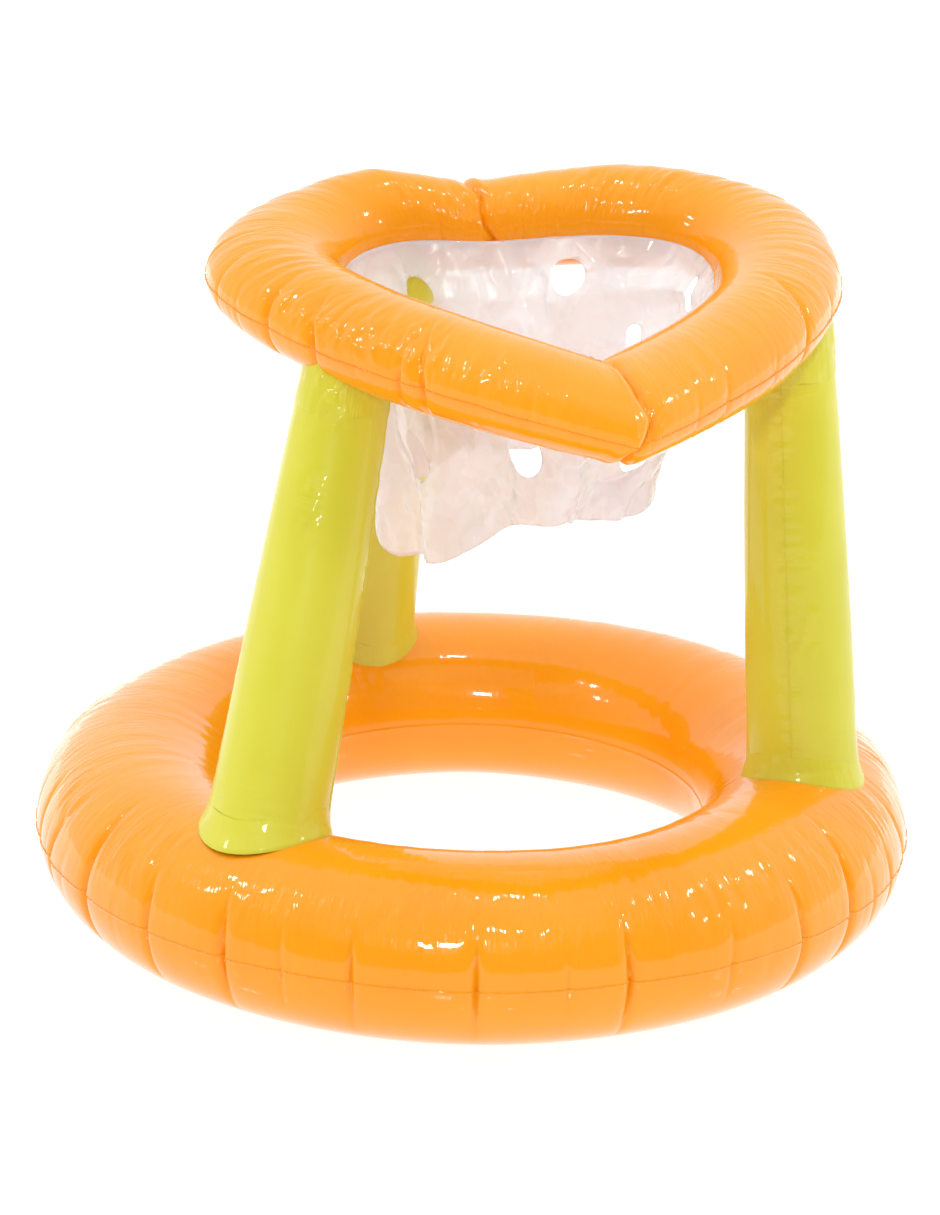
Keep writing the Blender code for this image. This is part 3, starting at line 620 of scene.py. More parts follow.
def make_base(finish):
    """The base ring's film and the line of its outer weld."""
    length = 2 * math.pi * BASE_OUTER_RADIUS
    degree = length / 360
    rng = np.random.default_rng(7)
    creases = []
    for azimuth, lean, up, down, width, depth in BASE_CREASES:
        deep = BASE_CREASE_GAIN * depth
        creases.append(((azimuth + 180) * degree, lean * degree, up, down, width, deep))
    # The rear isn't seen: creases like those of the front go round it.
    azimuth = -1.5
    while azimuth < 184:
        strong = rng.uniform(0.2, 1.0)
        lean = rng.uniform(-2, 2) * degree
        sizes = (34 + 40 * strong, 30 + 34 * strong, 2.6 + 2.2 * strong, 1.6 + 4.6 * strong)
        creases.append(((azimuth + 180) * degree, lean, *sizes))
        azimuth += rng.uniform(6, 11)
    along = station_places(length, [c[0] for c in creases if c[-1] > 2.2], BASE_STATIONS, 0.011)
    turn = along / BASE_OUTER_RADIUS - math.pi
    out = np.stack([np.cos(turn), np.sin(turn), np.zeros_like(turn)], -1)
    up = np.zeros_like(out)
    up[:, 2] = 1
    track = {
        "mid": out * CROWN_RADIUS + up * BASE_SEAM_HEIGHT,
        "across": out,
        "up": up,
        "half": np.full(len(turn), BASE_ARCH + WELD_RIM),
        "top": np.full(len(turn), BASE_CROWN_RISE),
        "bottom": np.full(len(turn), BASE_SEAM_HEIGHT * 1.012),
    }
    rows = seam_rows(section_angles(0.022, 0.06, 0.088), section_angles(0.03, 0.09, 0.15))
    theta = rows[:, 0]
    q, inner_q, across = section_distance(theta, BASE_ARCH, BASE_CROWN_RISE)
    drawn = crease_field(along, length, q, creases + small_creases(length, 15 * MM, 8))
    u = along[:, None] / length
    v = np.abs(q) / across
    over = np.clip(np.sin(theta), 0, 1)
    drawn += 0.26 * MM * over * smooth_noise(u, v, 150, 4, 13)
    drawn += 0.7 * MM * smooth_noise(u, v, 16, 2, 14)
    drawn += 0.45 * MM * hump(inner_q, 0, 0.03) * smooth_noise(u, v, 70, 3, 15)
    drawn = settled(drawn, along - length * (BASE_VALVE_SHARE + 0.5), theta, q, BASE_VALVE_SLOPE)
    drawn += base_sag(turn[:, None], theta)
    patches = np.clip(0.7 + 1.1 * smooth_noise(u, v * 0, 34, 1, 18), 0.15, 1.3)
    rucked = hump(q, BASE_RUCK_PLACE, BASE_RUCK_WIDTH) * patches
    drawn += rucked * MM * (0.7 * smooth_noise(u, v, 230, 10, 19) + 0.75 * smooth_noise(u, v, 430, 12, 20))
    points = tube_points(track, rows, drawn)
    points[..., 2] += 0.7 * MM * hump(q, 0, 0.02) * smooth_noise(u, v * 0, 60, 1, 16)
    points[..., 2] = np.maximum(points[..., 2], 0.0)
    slack = 0.10 + 0.45 * hump(q, *GATHER_BAND) + 0.22 * hump(q, 0.105, 0.04)
    slack = np.clip(slack * (1 + 0.6 * smooth_noise(u, v, 40, 4, 17)) + 0.45 * rucked, 0, 1)
    made = grid_object("base_ring_film", points, seam_uv(along, length, q, across), finish, True, slack)
    return made, points[:, 0]


def spline(points, count, level_end):
    """Even steps along a natural cubic; with level_end it meets its mirror image smoothly."""
    pts = np.array(points)
    steps = np.linalg.norm(np.diff(pts, axis=0), axis=1)
    knots = np.concatenate([[0.0], np.cumsum(steps)])
    size = len(pts)
    table = np.zeros((size, size))
    right = np.zeros((size, 2))
    table[0, 0] = table[-1, -1] = 1.0
    for i in range(1, size - 1):
        table[i, i - 1 : i + 2] = steps[i - 1], 2 * (steps[i - 1] + steps[i]), steps[i]
        right[i] = 6 * ((pts[i + 1] - pts[i]) / steps[i] - (pts[i] - pts[i - 1]) / steps[i - 1])
    if level_end:
        table[-1, -2:] = steps[-1], 2 * steps[-1]
        right[-1] = 6 * (np.array([-1.0, 0.0]) - (pts[-1] - pts[-2]) / steps[-1])
    bends = np.linalg.solve(table, right)
    made = []
    for t in np.linspace(0, knots[-1], count):
        i = min(int(np.searchsorted(knots, t, side="right")) - 1, size - 2)
        h = steps[i]
        b = (t - knots[i]) / h
        a = 1 - b
        curve = ((a**3 - a) * bends[i] + (b**3 - b) * bends[i + 1]) * h * h / 6
        made.append(a * pts[i] + b * pts[i + 1] + curve)
    return made


def heart_rail(tip, right, left, cleft, level_end):
    """A closed seam of the hoop in its own plane: tip, right half, cleft, left half."""
    count = HEART_SPAN * HEART_RAIL_STEPS + 1
    halves = []
    for side, points in ((1, right), (-1, left)):
        half = spline([(0, tip), *points, (0, cleft)], count, level_end)
        halves.append([(side * x, y) for x, y in half])
    return np.array(halves[0] + halves[1][-2:0:-1])


def heart_track(places):
    """The hoop's tube at places given in stations, 0 at the tip and HEART_SPAN at the cleft."""
    outer = heart_rail(HEART_OUTER_TIP, HEART_OUTER_RIGHT, HEART_OUTER_LEFT, HEART_OUTER_CLEFT, False)
    inner = heart_rail(HEART_INNER_TIP, HEART_INNER_RIGHT, HEART_INNER_LEFT, HEART_INNER_BACK, True)
    tilt = Matrix.Rotation(-HEART_ROLL, 4, "Y") @ Matrix.Rotation(HEART_PITCH, 4, "X")
    matrix = np.array(Matrix.Translation(HEART_CENTRE) @ tilt @ Matrix.Rotation(HEART_TURN, 4, "Z"))
    ring = np.arange(len(outer) + 1) / HEART_RAIL_STEPS
    sides = []
    for rail in (inner, outer):
        flat = np.concatenate([rail, rail[:1]])
        flat = np.stack([np.interp(places, ring, flat[:, k]) for k in (0, 1)] + [np.zeros(len(places))], -1)
        sides.append(flat @ matrix[:3, :3].T + matrix[:3, 3])
    across = sides[1] - sides[0]
    half = np.linalg.norm(across, axis=1) / 2
    share = 1 - np.abs(1 - places / HEART_SPAN)
    rise = np.interp(share, np.linspace(0, 1, len(HEART_RISES)), HEART_RISES)
    up = np.tile(matrix[:3, 2] / np.linalg.norm(matrix[:3, 2]), (len(places), 1))
    return {
        "inner": sides[0],
        "outer": sides[1],
        "mid": (sides[0] + sides[1]) / 2,
        "across": across / (2 * half[:, None]),
        "up": up,
        "half": half,
        "top": rise,
        "bottom": rise,
    }


def make_hoop(finish):
    """The heart-shaped hoop's film and the line of its outer weld."""
    total = 2 * HEART_SPAN
    centres = [c[0] for c in HEART_OUTER_CREASES if c[-1] > 2.5] + [0.3, 0.3, 29.6]
    places = station_places(total, centres, HEART_STATIONS, 0.4)
    track = heart_track(places)
    step = np.linalg.norm(np.diff(np.concatenate([track["mid"], track["mid"][:1]]), axis=0), axis=1)
    distance = np.concatenate([[0], np.cumsum(step)])
    along = distance[:-1]
    length = distance[-1]
    scale = length / total

    def metre(station):
        return np.interp(np.mod(station, total), np.append(places, total), distance)

    rows = seam_rows(section_angles(0.036, 0.05, 0.105), section_angles(0.045, 0.08, 0.15))
    theta = rows[:, 0]
    half = float(np.mean(track["half"])) - WELD_RIM
    q, inner_q, across = section_distance(theta, half, float(np.mean(track["top"])))
    drawn = fold_field(along, metre, length, theta)
    for gap, creases, apart, seed, reach in (
        (q, HEART_OUTER_CREASES, 12 * MM, 22, (12, 34)),
        (inner_q, HEART_INNER_CREASES, 20 * MM, 23, (8, 22)),
    ):
        seen = [(metre(c[0]), c[1] * scale, *c[2:]) for c in creases]
        drawn += crease_field(along, length, gap, seen + small_creases(length, apart, seed, reach))
    angle = np.degrees(theta)
    for station, height, width, middle in HEART_LIFTS:
        peak = np.clip(1 - np.sqrt((places - station) ** 2 + 0.05) / width, 0, 1)[:, None]
        drawn -= height * MM * peak * hump(angle, middle, 48)
    u = along[:, None] / length
    v = np.abs(q) / across
    lobe = np.clip(hump(places, 40.5, 5.5) + 0.8 * hump(places, 18.5, 6.0), 0, 1)[:, None]
    top = hump(q, *GATHER_BAND)
    drawn += 0.75 * MM * lobe * top * smooth_noise(u, v * 0.7, 190, 3, 25)
    drawn += 0.25 * MM * top * smooth_noise(u, v, 120, 3, 26)
    drawn += 0.7 * MM * smooth_noise(u, v, 18, 2, 24)
    rucked = np.zeros_like(drawn)
    for station, width, turn, wide, depth in HEART_RUCKS:
        patch = hump(places, station, width)[:, None] * hump(angle, turn, wide)
        rucked = np.maximum(rucked, depth * patch)
    drawn += rucked * MM * (0.9 * smooth_noise(u, v, 190, 10, 29) + 0.8 * smooth_noise(u, v, 340, 18, 30))
    drawn = settled(drawn, along - metre(HOOP_VALVE_SHARE * total), theta, q, HOOP_VALVE_SLOPE)
    points = tube_points(track, rows, drawn)
    near = (0.6 * MM * hump(q, 0, 0.014) * smooth_noise(u, v * 0, 46, 1, 27))[..., None]
    points += near * track["up"][:, None, :]
    slack = 0.16 + (0.4 + 0.35 * lobe) * top + 0.4 * rucked + 0.1 * hump(inner_q, 0, 0.02)
    slack = np.clip(slack * (1 + 0.6 * smooth_noise(u, v, 30, 4, 28)), 0, 1)
    made = grid_object("heart_hoop_film", points, seam_uv(along, length, q, across), finish, True, slack)
    return made, points[:, 0]


def leg_axes(leg):
    """A leg's foot, top and length, and the directions up it, to its seam and across both."""
    foot = np.array(leg["foot"])
    top = np.array(leg["top"])
    full = np.linalg.norm(top - foot)
    along = (top - foot) / full
    turn = math.radians(leg["seam"])
    seam = np.array((math.cos(turn), math.sin(turn), 0))
    seam -= along * (seam @ along)
    seam /= np.linalg.norm(seam)
    return foot, top, full, along, seam, np.cross(along, seam)


def leg_radius(leg, share):
    low, high = leg["radii"]
    return low + (high - low) * share + LEG_BULGE * np.sin(np.pi * np.clip(share, 0, 1))


def base_height(x, y):
    """Height of the base ring's film under a place."""
    across = np.clip((np.hypot(x, y) - CROWN_RADIUS) / BASE_ARCH, -1, 1)
    sag = base_sag(np.arctan2(y, x), np.arccos(across))
    return BASE_SEAM_HEIGHT + BASE_CROWN_RISE * np.sqrt(1 - across**2) - sag


def make_leg(name, leg, finish, seed):
    """A leg's two sheets as one closed tube with a weld rim up each side."""
    foot, _, full, along, seam, face = leg_axes(leg)
    t = WELD_HALF_THICKNESS
    rows = []
    for k in range(LEG_AROUND):
        a = 2 * math.pi * k / LEG_AROUND
        if k % (LEG_AROUND // 2):
            rows.append((a, 0.0, 0.0))
            continue
        t = -t
        rows += [(a, 0.0, t), (a, WELD_RIM, t), (a, WELD_RIM, -t), (a, 0.0, -t)]
    angle, rim, lift = np.array(rows).T
    share = np.linspace(-0.05, 1.0, LEG_STEPS)
    u = angle / (2 * math.pi)
    v = share[:, None]
    high = np.clip(1 - (1 - v) / LEG_TOP_SLACK, 0, 1)
    low = np.clip(1 - v / LEG_FOOT_SLACK, 0, 1)
    beside = hump(np.sin(angle), 0, 0.22)
    drawn = 1.5 * MM * high**1.3 * smooth_noise(u, v, 30, 8, seed)
    drawn += 0.8 * MM * low**1.3 * smooth_noise(u, v, 26, 12, seed + 1)
    drawn += 0.3 * MM * smooth_noise(u, v, 4, 4, seed + 2)
    drawn += 0.45 * MM * beside * smooth_noise(v, u, 75, 8, seed + 3)
    ruck = np.zeros_like(drawn)
    for at, turn, tall, wide, depth in leg["rucks"]:
        patch = hump(v, at, tall) * hump(wrapped(np.degrees(angle) - turn, 360), 0, wide)
        ruck = np.maximum(ruck, patch)
        drawn += depth * MM * patch * smooth_noise(u, v, 44, 34, seed + 4)
    radius = leg_radius(leg, v) - drawn + rim
    spoke = np.outer(np.cos(angle), seam) + np.outer(np.sin(angle), face)
    points = foot + (along * full * v)[:, None, :] + radius[..., None] * spoke + lift[:, None] * face
    # Along the leg the gathers lie across its two seams, so U follows the leg here.
    around = np.append(angle, 2 * math.pi) * LEG_UV_RADIUS
    uv = np.stack(np.meshgrid(share * full, around, indexing="ij"), -1)
    slack = np.clip(0.08 + 0.5 * high + 0.3 * low + 0.4 * beside + 0.5 * ruck, 0, 1)
    points, uv, slack = (np.swapaxes(field, 0, 1) for field in (points, uv, slack))
    return grid_object(f"{name}_leg_film", points, uv, finish, False, slack, caps=True)


def make_cuff(name, leg, reaches, finish, slack, seed):
    """A band of film round a leg: reaches are (how far up the leg at each turn, how far off it)."""
    foot, _, full, along, seam, face = leg_axes(leg)
    angle = CUFF_TURNS
    loops = []
    for reach, stand in [*reaches, *[(t, stand - CUFF_FILM) for t, stand in reversed(reaches)]]:
        radius = leg_radius(leg, reach / full) + stand
        radius += slack * 1.1 * MM * smooth_noise(angle / (2 * math.pi), reach / full * 9 % 1, 24, 3, seed)
        side = np.outer(np.cos(angle), seam) * (radius + WELD_RIM)[:, None]
        loops.append(foot + np.outer(reach, along) + side + np.outer(np.sin(angle) * radius, face))
    points = np.stack(loops, 1)
    span = np.arange(points.shape[1] + 1) * 2 * MM
    uv = np.stack(np.meshgrid(np.append(angle, 2 * math.pi) * LEG_UV_RADIUS, span, indexing="ij"), -1)
    return grid_object(name, points, uv, finish, True, np.full(points.shape[:2], slack))


def cuffs_of(name, leg, finish, seed):
    """The welded bands at a leg's foot, flared onto the base ring, and at its top, under the hoop."""
    foot, top, full, along, seam, face = leg_axes(leg)
    hoop = heart_track(np.array([leg["station"]]))
    up = hoop["up"][0]
    turn = CUFF_TURNS / (2 * math.pi)

    def rim(t, stand):
        radius = leg_radius(leg, t / full) + stand
        side = np.outer(np.cos(CUFF_TURNS), seam) * (radius + WELD_RIM)
        return foot + along * t + side + np.outer(np.sin(CUFF_TURNS), face) * radius

    def above_base(height, stand):
        x, y, z = rim(0.0, stand).T
        waver = 0.7 * MM * smooth_noise(turn, turn * 0, 14, 1, seed) * (height > 0.01)
        return (base_height(x, y) + height + waver - z) / along[2]

    def under_hoop(depth):
        waver = 0.8 * MM * smooth_noise(turn, turn * 0, 16, 1, seed + 1)
        return full + ((top - rim(full, 0.0)) @ up - depth - waver) / (along @ up)

    feet = [(above_base(-1.5 * MM, FOOT_CUFF_FLARE), FOOT_CUFF_FLARE)]
    for s in np.linspace(0.02, 1.0, 14):
        stand = CUFF_FILM * (1 - s**4) - 0.1 * MM * s**4 + FOOT_CUFF_FLARE * (1 - s) ** 2.4
        feet.append((above_base(FOOT_CUFF_HEIGHT * s, stand * (1 - s)), stand))
    low = float(hoop["top"][0]) + TOP_CUFF_HEIGHT
    tops = []
    for s in np.linspace(0, 1, 12):
        tops.append((under_hoop(low * (1 - s) + 0.004 * s), CUFF_FILM - 0.7 * MM * (1 - s) ** 6))
    return (
        make_cuff(f"{name}_leg_foot_band", leg, feet, finish, 0.3, seed + 2),
        make_cuff(f"{name}_leg_top_band", leg, tops, finish, 0.8, seed + 3),
    )


def net_spot(places, station, width):
    """A smooth hump about a station of the closed hoop."""
    return hump(wrapped(places - station, 2 * HEART_SPAN), 0, width)


def net_track(places):
    """The net at places in hoop stations: top edge, way to the middle, way in as a unit, hanging
    length, depth of the folds, and taper as a share of the way to the middle."""
    inner = heart_track(places)["inner"]
    centre = heart_track(np.arange(0, 2 * HEART_SPAN, 1.0))["inner"]
    spread = np.linalg.norm(centre - centre.mean(0), axis=1).mean()
    centre = centre.mean(0)
    middle = centre - inner
    middle[:, 2] = 0
    turn = np.pi * places / HEART_SPAN
    drop = NET_DROP + NET_DROP_SLANT * (centre[0] - inner[:, 0]) / spread + NET_HEM_WAVE * np.sin(3 * turn)
    for station, width, extra in NET_HEM_SPOTS:
        drop += extra * MM * net_spot(places, station, width)
    fold = NET_FOLD_DEPTH * np.sin(NET_FOLDS * turn)
    return inner, middle, middle / np.linalg.norm(middle, axis=1)[:, None], drop, fold, NET_TAPER / spread


def ridges(u, v, cells, rows, seed):
    """Sharp-crested ripples from 0 to 1, as in film that has been crumpled."""
    return 1 - np.minimum(np.abs(smooth_noise(u, v, cells, rows, seed)) * 2.2, 1)


def gathered(places, share):
    """Stations and shares with the film drawn together at NET_GATHERS."""
    moved = places
    down = share
    for station, middle, narrow, low, up in NET_GATHERS:
        away = wrapped(places - station, 2 * HEART_SPAN)
        below = share - middle
        pull = hump(away, 0, NET_GATHER_REACH[0]) * hump(below, 0, NET_GATHER_REACH[1])
        pull *= np.clip(share / 0.08, 0, 1)
        moved = moved - away * (1 - narrow) * pull
        down = down - (below * (1 - low) + up) * pull
    return moved, np.clip(down, 0, 1)


def net_place(places, share):
    """The net's film at each (station, share of the way down)."""
    places, share = gathered(places, share)
    inner, middle, flat, drop, fold, taper = net_track(places)
    u = places / (2 * HEART_SPAN)
    ease = share * share * (3 - 2 * share)
    loose = np.clip(share / 0.16, 0, 1)
    station, inwards = NET_TENT
    tent = net_spot(places, station, 0.8 + 3.4 * share) * (1 - 0.35 * share)
    crumple = 6.0 * ridges(u + 0.05 * share, share, 19, 2, 81) + 2.4 * ridges(u, share, 41, 4, 82)
    crumple += 0.5 * ridges(u - 0.03 * share, share, 90, 9, 85) + 3.0 * smooth_noise(u, share, 24, 2, 83)
    push = fold * ease + loose * MM * (inwards * tent + crumple)
    station, width, out = NET_SWING
    push -= out * MM * net_spot(places, station, width) * ease
    made = inner + middle * (taper * share)[:, None] + flat * push[:, None]
    made[:, 2] -= drop * share + loose * 1.2 * MM * smooth_noise(u, share, 30, 4, 84)
    return made


def make_net(finish):
    """A film skirt with round holes: grid points near a hole's rim are moved onto it, and the cells
    inside are left out."""
    total = 2.0 * HEART_SPAN
    fine = np.arange(0, total + 0.1, 0.25)
    inner, _, _, drops, _, _ = net_track(fine[:-1])
    around = np.concatenate([[0], np.cumsum(np.linalg.norm(np.roll(inner, -1, 0) - inner, axis=1))])
    ring = around[-1]

    def drop_at(station):
        return np.interp(station, fine[:-1], drops)

    column, row = np.meshgrid(np.arange(NET_COLUMNS), np.arange(NET_ROWS + 1), indexing="ij")
    station = column / NET_COLUMNS * total
    u = np.interp(station, fine, around)
    v = row / NET_ROWS * drop_at(station)
    inside = np.zeros_like(u, bool)
    for line, at in enumerate(NET_HOLE_SHARES):
        for k in range(NET_HOLES_PER_ROW):
            hole = int((k + line / 2) * total / NET_HOLES_PER_ROW + 1) % total
            hole_u = np.interp(hole, fine, around)
            hole_v = at * drop_at(hole)
            du = wrapped(u - hole_u, ring)
            dv = v - hole_v
            gap = np.hypot(du, dv)
            close = np.abs(gap - NET_HOLE_RADIUS) < 0.75 * ring / NET_COLUMNS
            grow = NET_HOLE_RADIUS / np.maximum(gap, 1e-9)
            u = np.where(close, hole_u + du * grow, u)
            v = np.where(close, hole_v + dv * grow, v)
            inside |= (gap < NET_HOLE_RADIUS) & ~close
    station = np.interp(u.ravel() % ring, around, fine)
    points = net_place(station, np.clip(v.ravel() / drop_at(station), 0, 1))
    index = np.arange(len(points)).reshape(NET_COLUMNS, -1)
    after = np.roll(index, -1, 0)
    cells = np.stack([index[:, :-1], index[:, 1:], after[:, 1:], after[:, :-1]], -1).reshape(-1, 4)
    kept, faces = np.unique(cells[~inside.ravel()[cells].any(1)], return_inverse=True)
    mesh = bpy.data.meshes.new("net_film")
    mesh.from_pydata(points[kept].tolist(), [], faces.reshape(-1, 4).tolist())
    mesh.materials.append(finish)
    mesh.shade_smooth()
    made = placed("net_film", mesh)
    wall = made.modifiers.new("film", "SOLIDIFY")
    wall.thickness = NET_FILM
    wall.offset = 0
    return made


def weld_tick_tree(finish):
    """Geometry nodes: a closed line becomes a row of small pressed ticks lying across it."""
    tree = bpy.data.node_groups.new("weld_ticks", "GeometryNodeTree")
    tree.interface.new_socket("Geometry", in_out="INPUT", socket_type="NodeSocketGeometry")
    for name, value in TICK_INPUTS.items():
        kind = "NodeSocketInt" if isinstance(value, int) else "NodeSocketFloat"
        tree.interface.new_socket(name, in_out="INPUT", socket_type=kind)
    tree.interface.new_socket("Geometry", in_out="OUTPUT", socket_type="NodeSocketGeometry")
    given = add_node(tree, "NodeGroupInput").outputs
    line = add_node(tree, "GeometryNodeMeshToCurve", links={"Mesh": given["Geometry"]})
    links = {"Curve": line, "Length": given["Spacing"]}
    spots = add_node(tree, "GeometryNodeResampleCurve", links=links, mode="LENGTH")
    tick = add_node(tree, "GeometryNodeMeshIcoSphere", {"Radius": 1.0, "Subdivisions": 1})
    tangent = add_node(tree, "GeometryNodeInputTangent")
    turn = add_node(tree, "FunctionNodeAlignRotationToVector", links={"Vector": tangent}, axis="X")
    links = {"X": given["Along"], "Y": given["Across"], "Z": given["Height"]}
    shape = add_node(tree, "ShaderNodeCombineXYZ", links=links)
    limits = {"Min": 0.6, "Max": 1.25}
    uneven = add_node(tree, "FunctionNodeRandomValue", limits, {"Seed": given["Seed"]}, data_type="FLOAT")
    links = {"Vector": shape, "Scale": uneven.outputs["Value"]}
    scaled = add_node(tree, "ShaderNodeVectorMath", links=links, operation="SCALE")
    links = {
        "Points": spots,
        "Instance": tick,
        "Rotation": turn,
        "Scale": scaled,
    }
    row = add_node(tree, "GeometryNodeInstanceOnPoints", links=links)
    solid = add_node(tree, "GeometryNodeRealizeInstances", links={"Geometry": row})
    painted = add_node(tree, "GeometryNodeSetMaterial", {"Material": finish}, {"Geometry": solid})
    add_node(tree, "NodeGroupOutput", links={"Geometry": painted})
    return tree


def weld_ticks(name, line, tree):
    """The ticks that the welding tool's knurl leaves along a closed weld."""
    count = len(line)
    path = bpy.data.meshes.new(name)
    path.from_pydata(line.tolist(), [(k, (k + 1) % count) for k in range(count)], [])
    made = placed(name, path)
    maker = made.modifiers.new("ticks", "NODES")
    maker.node_group = tree
    for item in tree.interface.items_tree:
        if item.in_out == "INPUT" and item.name in TICK_INPUTS:
            maker[item.identifier] = TICK_INPUTS[item.name]
    mesh = bpy.data.meshes.new_from_object(made.evaluated_get(bpy.context.evaluated_depsgraph_get()))
    made.modifiers.remove(maker)
    made.data = mesh
    mesh.name = name
    mesh.shade_smooth()
    return made


def turned(profile, segments=56):
    """A closed solid of revolution about Z; points on the axis close into a pole."""
    bm = bmesh.new()
    turns = [2 * math.pi * k / segments for k in range(segments)]
    rings = []
    for radius, height in profile:
        if radius:
            loop = [(radius * math.cos(a), radius * math.sin(a), height) for a in turns]
            rings.append([bm.verts.new(place) for place in loop])
        else:
            rings.append([bm.verts.new((0, 0, height))] * segments)
    pairs = list(zip(rings, rings[1:]))
    if profile[0][0] and profile[-1][0]:
        pairs.append((rings[-1], rings[0]))
    for low, high in pairs:
        for k in range(segments):
            n = (k + 1) % segments
            corners = list(dict.fromkeys((low[k], low[n], high[n], high[k])))
            if len(corners) > 2:
                bm.faces.new(corners)
    bmesh.ops.recalc_face_normals(bm, faces=bm.faces)
    return bm


def slab(bm, low, high):
    """Adds a strap or lug from one corner to the other, its outer end rounded."""
    (x0, y0, z0), (x1, y1, z1) = low, high
    radius = (y1 - y0) / 2
    turns = [math.pi / 2 + math.pi * k / 10 for k in range(11)]
    edge = [(x0 + radius + radius * math.cos(a), radius * math.sin(a)) for a in turns]
    edge += [(x1, y0), (x1, y1)]
    bottom = [bm.verts.new((x, y, z0)) for x, y in edge]
    top = [bm.verts.new((x, y, z1)) for x, y in edge]
    faces = [bm.faces.new(bottom), bm.faces.new(top)]
    for k in range(len(edge)):
        n = (k + 1) % len(edge)
        faces.append(bm.faces.new((bottom[k], bottom[n], top[n], top[k])))
    bmesh.ops.recalc_face_normals(bm, faces=faces)


def moulded(name, bm, matrix, finish, drape=0.0):
    """A small moulding in its place: its edges rounded, draped over a round skin of that radius."""
    if drape:
        for vert in bm.verts:
            vert.co.z -= vert.co.y**2 / (2 * drape)
    bm.transform(matrix)
    mesh = bpy.data.meshes.new(name)
    bm.to_mesh(mesh)
    bm.free()
    mesh.materials.append(finish)
    mesh.shade_smooth()
    mesh.set_sharp_from_angle(angle=math.radians(50))
    made = placed(name, mesh)
    edge = made.modifiers.new("edge", "BEVEL")
    edge.width = 0.25 * MM
    edge.segments = 2
    edge.limit_method = "ANGLE"
    edge.angle_limit = math.radians(40)
    return made


def valve_matrix(name):
    """The valve's place: Z out of the skin, X away from the plug's strap."""
    joints = {joint["name"]: joint for joint in frame["joints"]}
    push = joints[f"{name}_push"]
    hinge = joints[f"{name.split('_')[0]}_plug_hinge"]
    z = -Vector(push["axis"]).normalized()
    y = -Vector(hinge["axis"]).normalized()
    x = y.cross(z)
    matrix = Matrix((x, y, z)).transposed().to_4x4()
    matrix.translation = Vector(hinge["pos_m"]) - matrix.to_3x3() @ VALVE_HINGE
    return matrix


def make_valve(name, drape, finish):
    """Flange welded on the skin, push-in stem with its lug, plug on a strap, and the check flap."""
    matrix = valve_matrix(name)
    for part, (profile, strap) in VALVE_PARTS.items():
        shape = turned([(radius * MM, height * MM) for radius, height in profile])
        if strap:
            slab(shape, *(tuple(c * MM for c in corner) for corner in strap))
        over = drape if part == "flange" else 0
        yield part, moulded(f"{name}_{part}_moulding", shape, matrix, finish, over)


def milky_film(name):
    """Frosted thin film of the net, milky and faintly pink, with painted light: painted whiter near the
    hoop, and left pinker lower down as painted shade and orange bounce light. Light soaks through it,
    and where two layers of it lie over each other it looks denser."""
    values = {
        "Subsurface Weight": 0.8,
        "Subsurface Radius": (1.0, 0.8, 0.75),
        "Subsurface Scale": 2 * MM,
        "Coat Weight": 0.7,
        "Coat Roughness": 0.06,
        "Alpha": 0.68,
    }
    made, tree, shader, place = new_material(name, values)
    cloud = noise(tree, place, 26.0, 3.0)
    pink = toned(tree, cloud, [(0.35, "#F9E8EA"), (0.68, "#FFF5F8")])
    # Painted light: the film is mixed towards white by height, lighter near the hoop and pinker lower down,
    # where shade and orange light bounced from the hoop fall.
    split = add_node(tree, "ShaderNodeSeparateXYZ", links={"Vector": place})
    high = remapped(tree, split.outputs["Z"], 0.38, 0.46)
    white = {"Color2": tint("#FBFAFF")}
    colour = add_node(tree, "ShaderNodeMixRGB", white, {"Fac": high, "Color1": pink})
    tree.links.new(colour.outputs["Color"], shader.inputs["Base Color"])
    tree.links.new(remapped(tree, cloud, 0.3, 0.7, 0.2, 0.34), shader.inputs["Roughness"])
    # Crumpled film: facets some 20 mm wide that meet in sharp lines, bent by a soft noise.
    sway = noise(tree, place, 30.0, 2.0).outputs["Color"]
    moved = add_node(tree, "ShaderNodeVectorMath", {"Scale": 0.03}, {"Vector": sway}, operation="SCALE")
    links = {0: place, 1: moved}
    bent = add_node(tree, "ShaderNodeVectorMath", links=links, operation="ADD")
    facets = add_node(tree, "ShaderNodeTexVoronoi", {"Scale": 46.0}, {"Vector": bent})
    for strength, socket in ((0.3, "Normal"), (0.85, "Coat Normal")):
        values = {"Strength": strength, "Distance": 6.0 * MM}
        bump = add_node(tree, "ShaderNodeBump", values, {"Height": facets})
        tree.links.new(bump.outputs["Normal"], shader.inputs[socket])
    return made


def clear_moulding(name):
    """Soft PVC injected in a polished mould: half clear, slightly milky and uneven, and glossy."""
    made, tree, shader, place = new_material(name, {"Transmission Weight": 0.45, "IOR": 1.5})
    cloud = noise(tree, place, 420.0, 3.0)
    colour = toned(tree, cloud, [(0.35, "#E4E7E4"), (0.65, "#F4F5F2")])
    tree.links.new(colour, shader.inputs["Base Color"])
    tree.links.new(remapped(tree, cloud, 0.3, 0.7, 0.12, 0.3), shader.inputs["Roughness"])
    return made


orange = pvc_film("orange_pvc_film_gloss", ("#FF9D0C", "#FFA212", "#FFA71A"), 0.18, 0.7, 0.1)
lime = pvc_film("lime_pvc_film_gloss", ("#D6D036", "#DCD640", "#E0DB4A"), 0.38, 0.4, 0.2)
milky = milky_film("milky_net_film")
clear = clear_moulding("clear_soft_pvc_moulding")

ring, ring_weld = make_base(orange)
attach(ring, "toy")
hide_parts("base_upper_skin", "base_lower_skin")

hoop, hoop_weld = make_hoop(orange)
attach(hoop, "toy")
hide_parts("heart_upper_skin", "heart_lower_skin")

orange_ticks = weld_tick_tree(orange)
for name, line in (("base_weld_ticks", ring_weld), ("hoop_weld_ticks", hoop_weld)):
    ticks = weld_ticks(name, line, orange_ticks)
    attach(ticks, "toy")

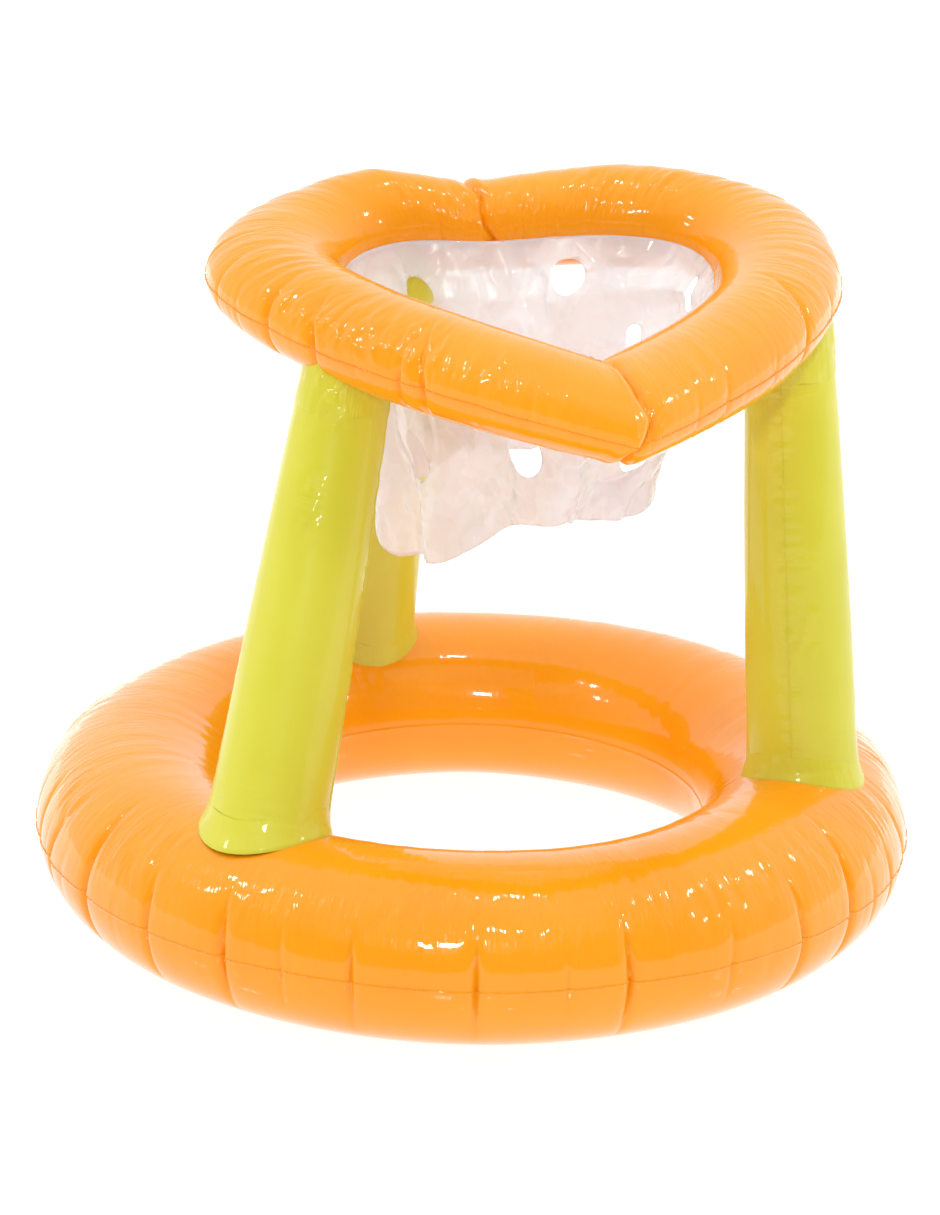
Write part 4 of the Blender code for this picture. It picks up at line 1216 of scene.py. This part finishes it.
for number, (name, leg) in enumerate(LEGS.items()):
    tube = make_leg(name, leg, lime, 31 + 10 * number)
    foot_band, top_band = cuffs_of(name, leg, lime, 61 + 10 * number)
    for piece in (tube, foot_band, top_band):
        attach(piece, "toy")
    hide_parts(f"{name}_leg_outer_panel", f"{name}_leg_inner_panel")
    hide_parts(f"{name}_leg_foot_cuff")
    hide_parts(f"{name}_leg_top_cuff")

net = make_net(milky)
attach(net, "toy")
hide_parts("net")

for name, drape in VALVE_DRAPES.items():
    for part, piece in make_valve(name, drape, clear):
        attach(piece, "toy" if part == "flange" else f"{name}_{part}")
        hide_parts(f"{name}_{part}")


def area_light(name, place, target, size, power):
    data = bpy.data.lights.new(name, "AREA")
    data.shape = "RECTANGLE"
    data.size, data.size_y = size
    data.energy = power
    made = placed(name, data)
    made.location = place
    made.rotation_euler = (Vector(target) - Vector(place)).to_track_quat("-Z", "Y").to_euler()


def make_stage():
    """A white floor and a studio that is darker behind the camera, so that the gloss has contrast."""
    values = {
        "Base Color": tint("#808080"),
        "Roughness": 0.07,
        "Emission Color": tint("#FFFFFF"),
        "Emission Strength": 0.94,
    }
    mesh = bpy.data.meshes.new("floor")
    corners = [(x * FLOOR_REACH, y * FLOOR_REACH, 0) for x, y in ((-1, -1), (1, -1), (1, 1), (-1, 1))]
    mesh.from_pydata(corners, [], [(0, 1, 2, 3)])
    mesh.materials.append(new_material("white_floor", values)[0])
    placed("floor", mesh)

    world = bpy.data.worlds.new("studio")
    bpy.context.scene.world = world
    world.use_nodes = True
    tree = world.node_tree
    back = tree.nodes["Background"]
    back.inputs["Color"].default_value = tint("#FFFFFF")
    where = add_node(tree, "ShaderNodeTexCoord")
    parts = add_node(tree, "ShaderNodeSeparateXYZ", links={"Vector": where.outputs["Generated"]})
    tree.links.new(remapped(tree, parts.outputs["Y"], -0.7, 0.1, 0.22, 1.1), back.inputs["Strength"])

    fill = bpy.data.lights.new("fill", "SUN")
    fill.energy = 0.38
    fill.angle = math.radians(70)
    placed("fill", fill).rotation_euler = Vector((0.08, 0.55, -0.84)).to_track_quat("-Z", "Y").to_euler()
    for lamp in LAMPS:
        area_light(*lamp)


def make_camera():
    pitch, yaw, roll = (math.radians(a) for a in CAMERA_ANGLES)
    ahead = Vector((math.sin(yaw) * math.cos(pitch), math.cos(yaw) * math.cos(pitch), -math.sin(pitch)))
    right = Vector((math.cos(yaw), -math.sin(yaw), 0))
    up = right.cross(ahead)
    across = right * math.cos(roll) + up * math.sin(roll)
    upright = up * math.cos(roll) - right * math.sin(roll)
    data = bpy.data.cameras.new("camera")
    data.lens = CAMERA_FOCAL_SHARE * SENSOR_MM
    data.sensor_width = SENSOR_MM
    data.clip_start = 0.1
    data.clip_end = 60
    turn = Matrix((across, upright, -ahead)).transposed().to_4x4()
    turn.translation = CAMERA_PLACE
    made = placed("camera", data)
    made.matrix_world = turn
    bpy.context.scene.camera = made


make_stage()
make_camera()
bpy.context.scene.view_settings.view_transform = "Standard"
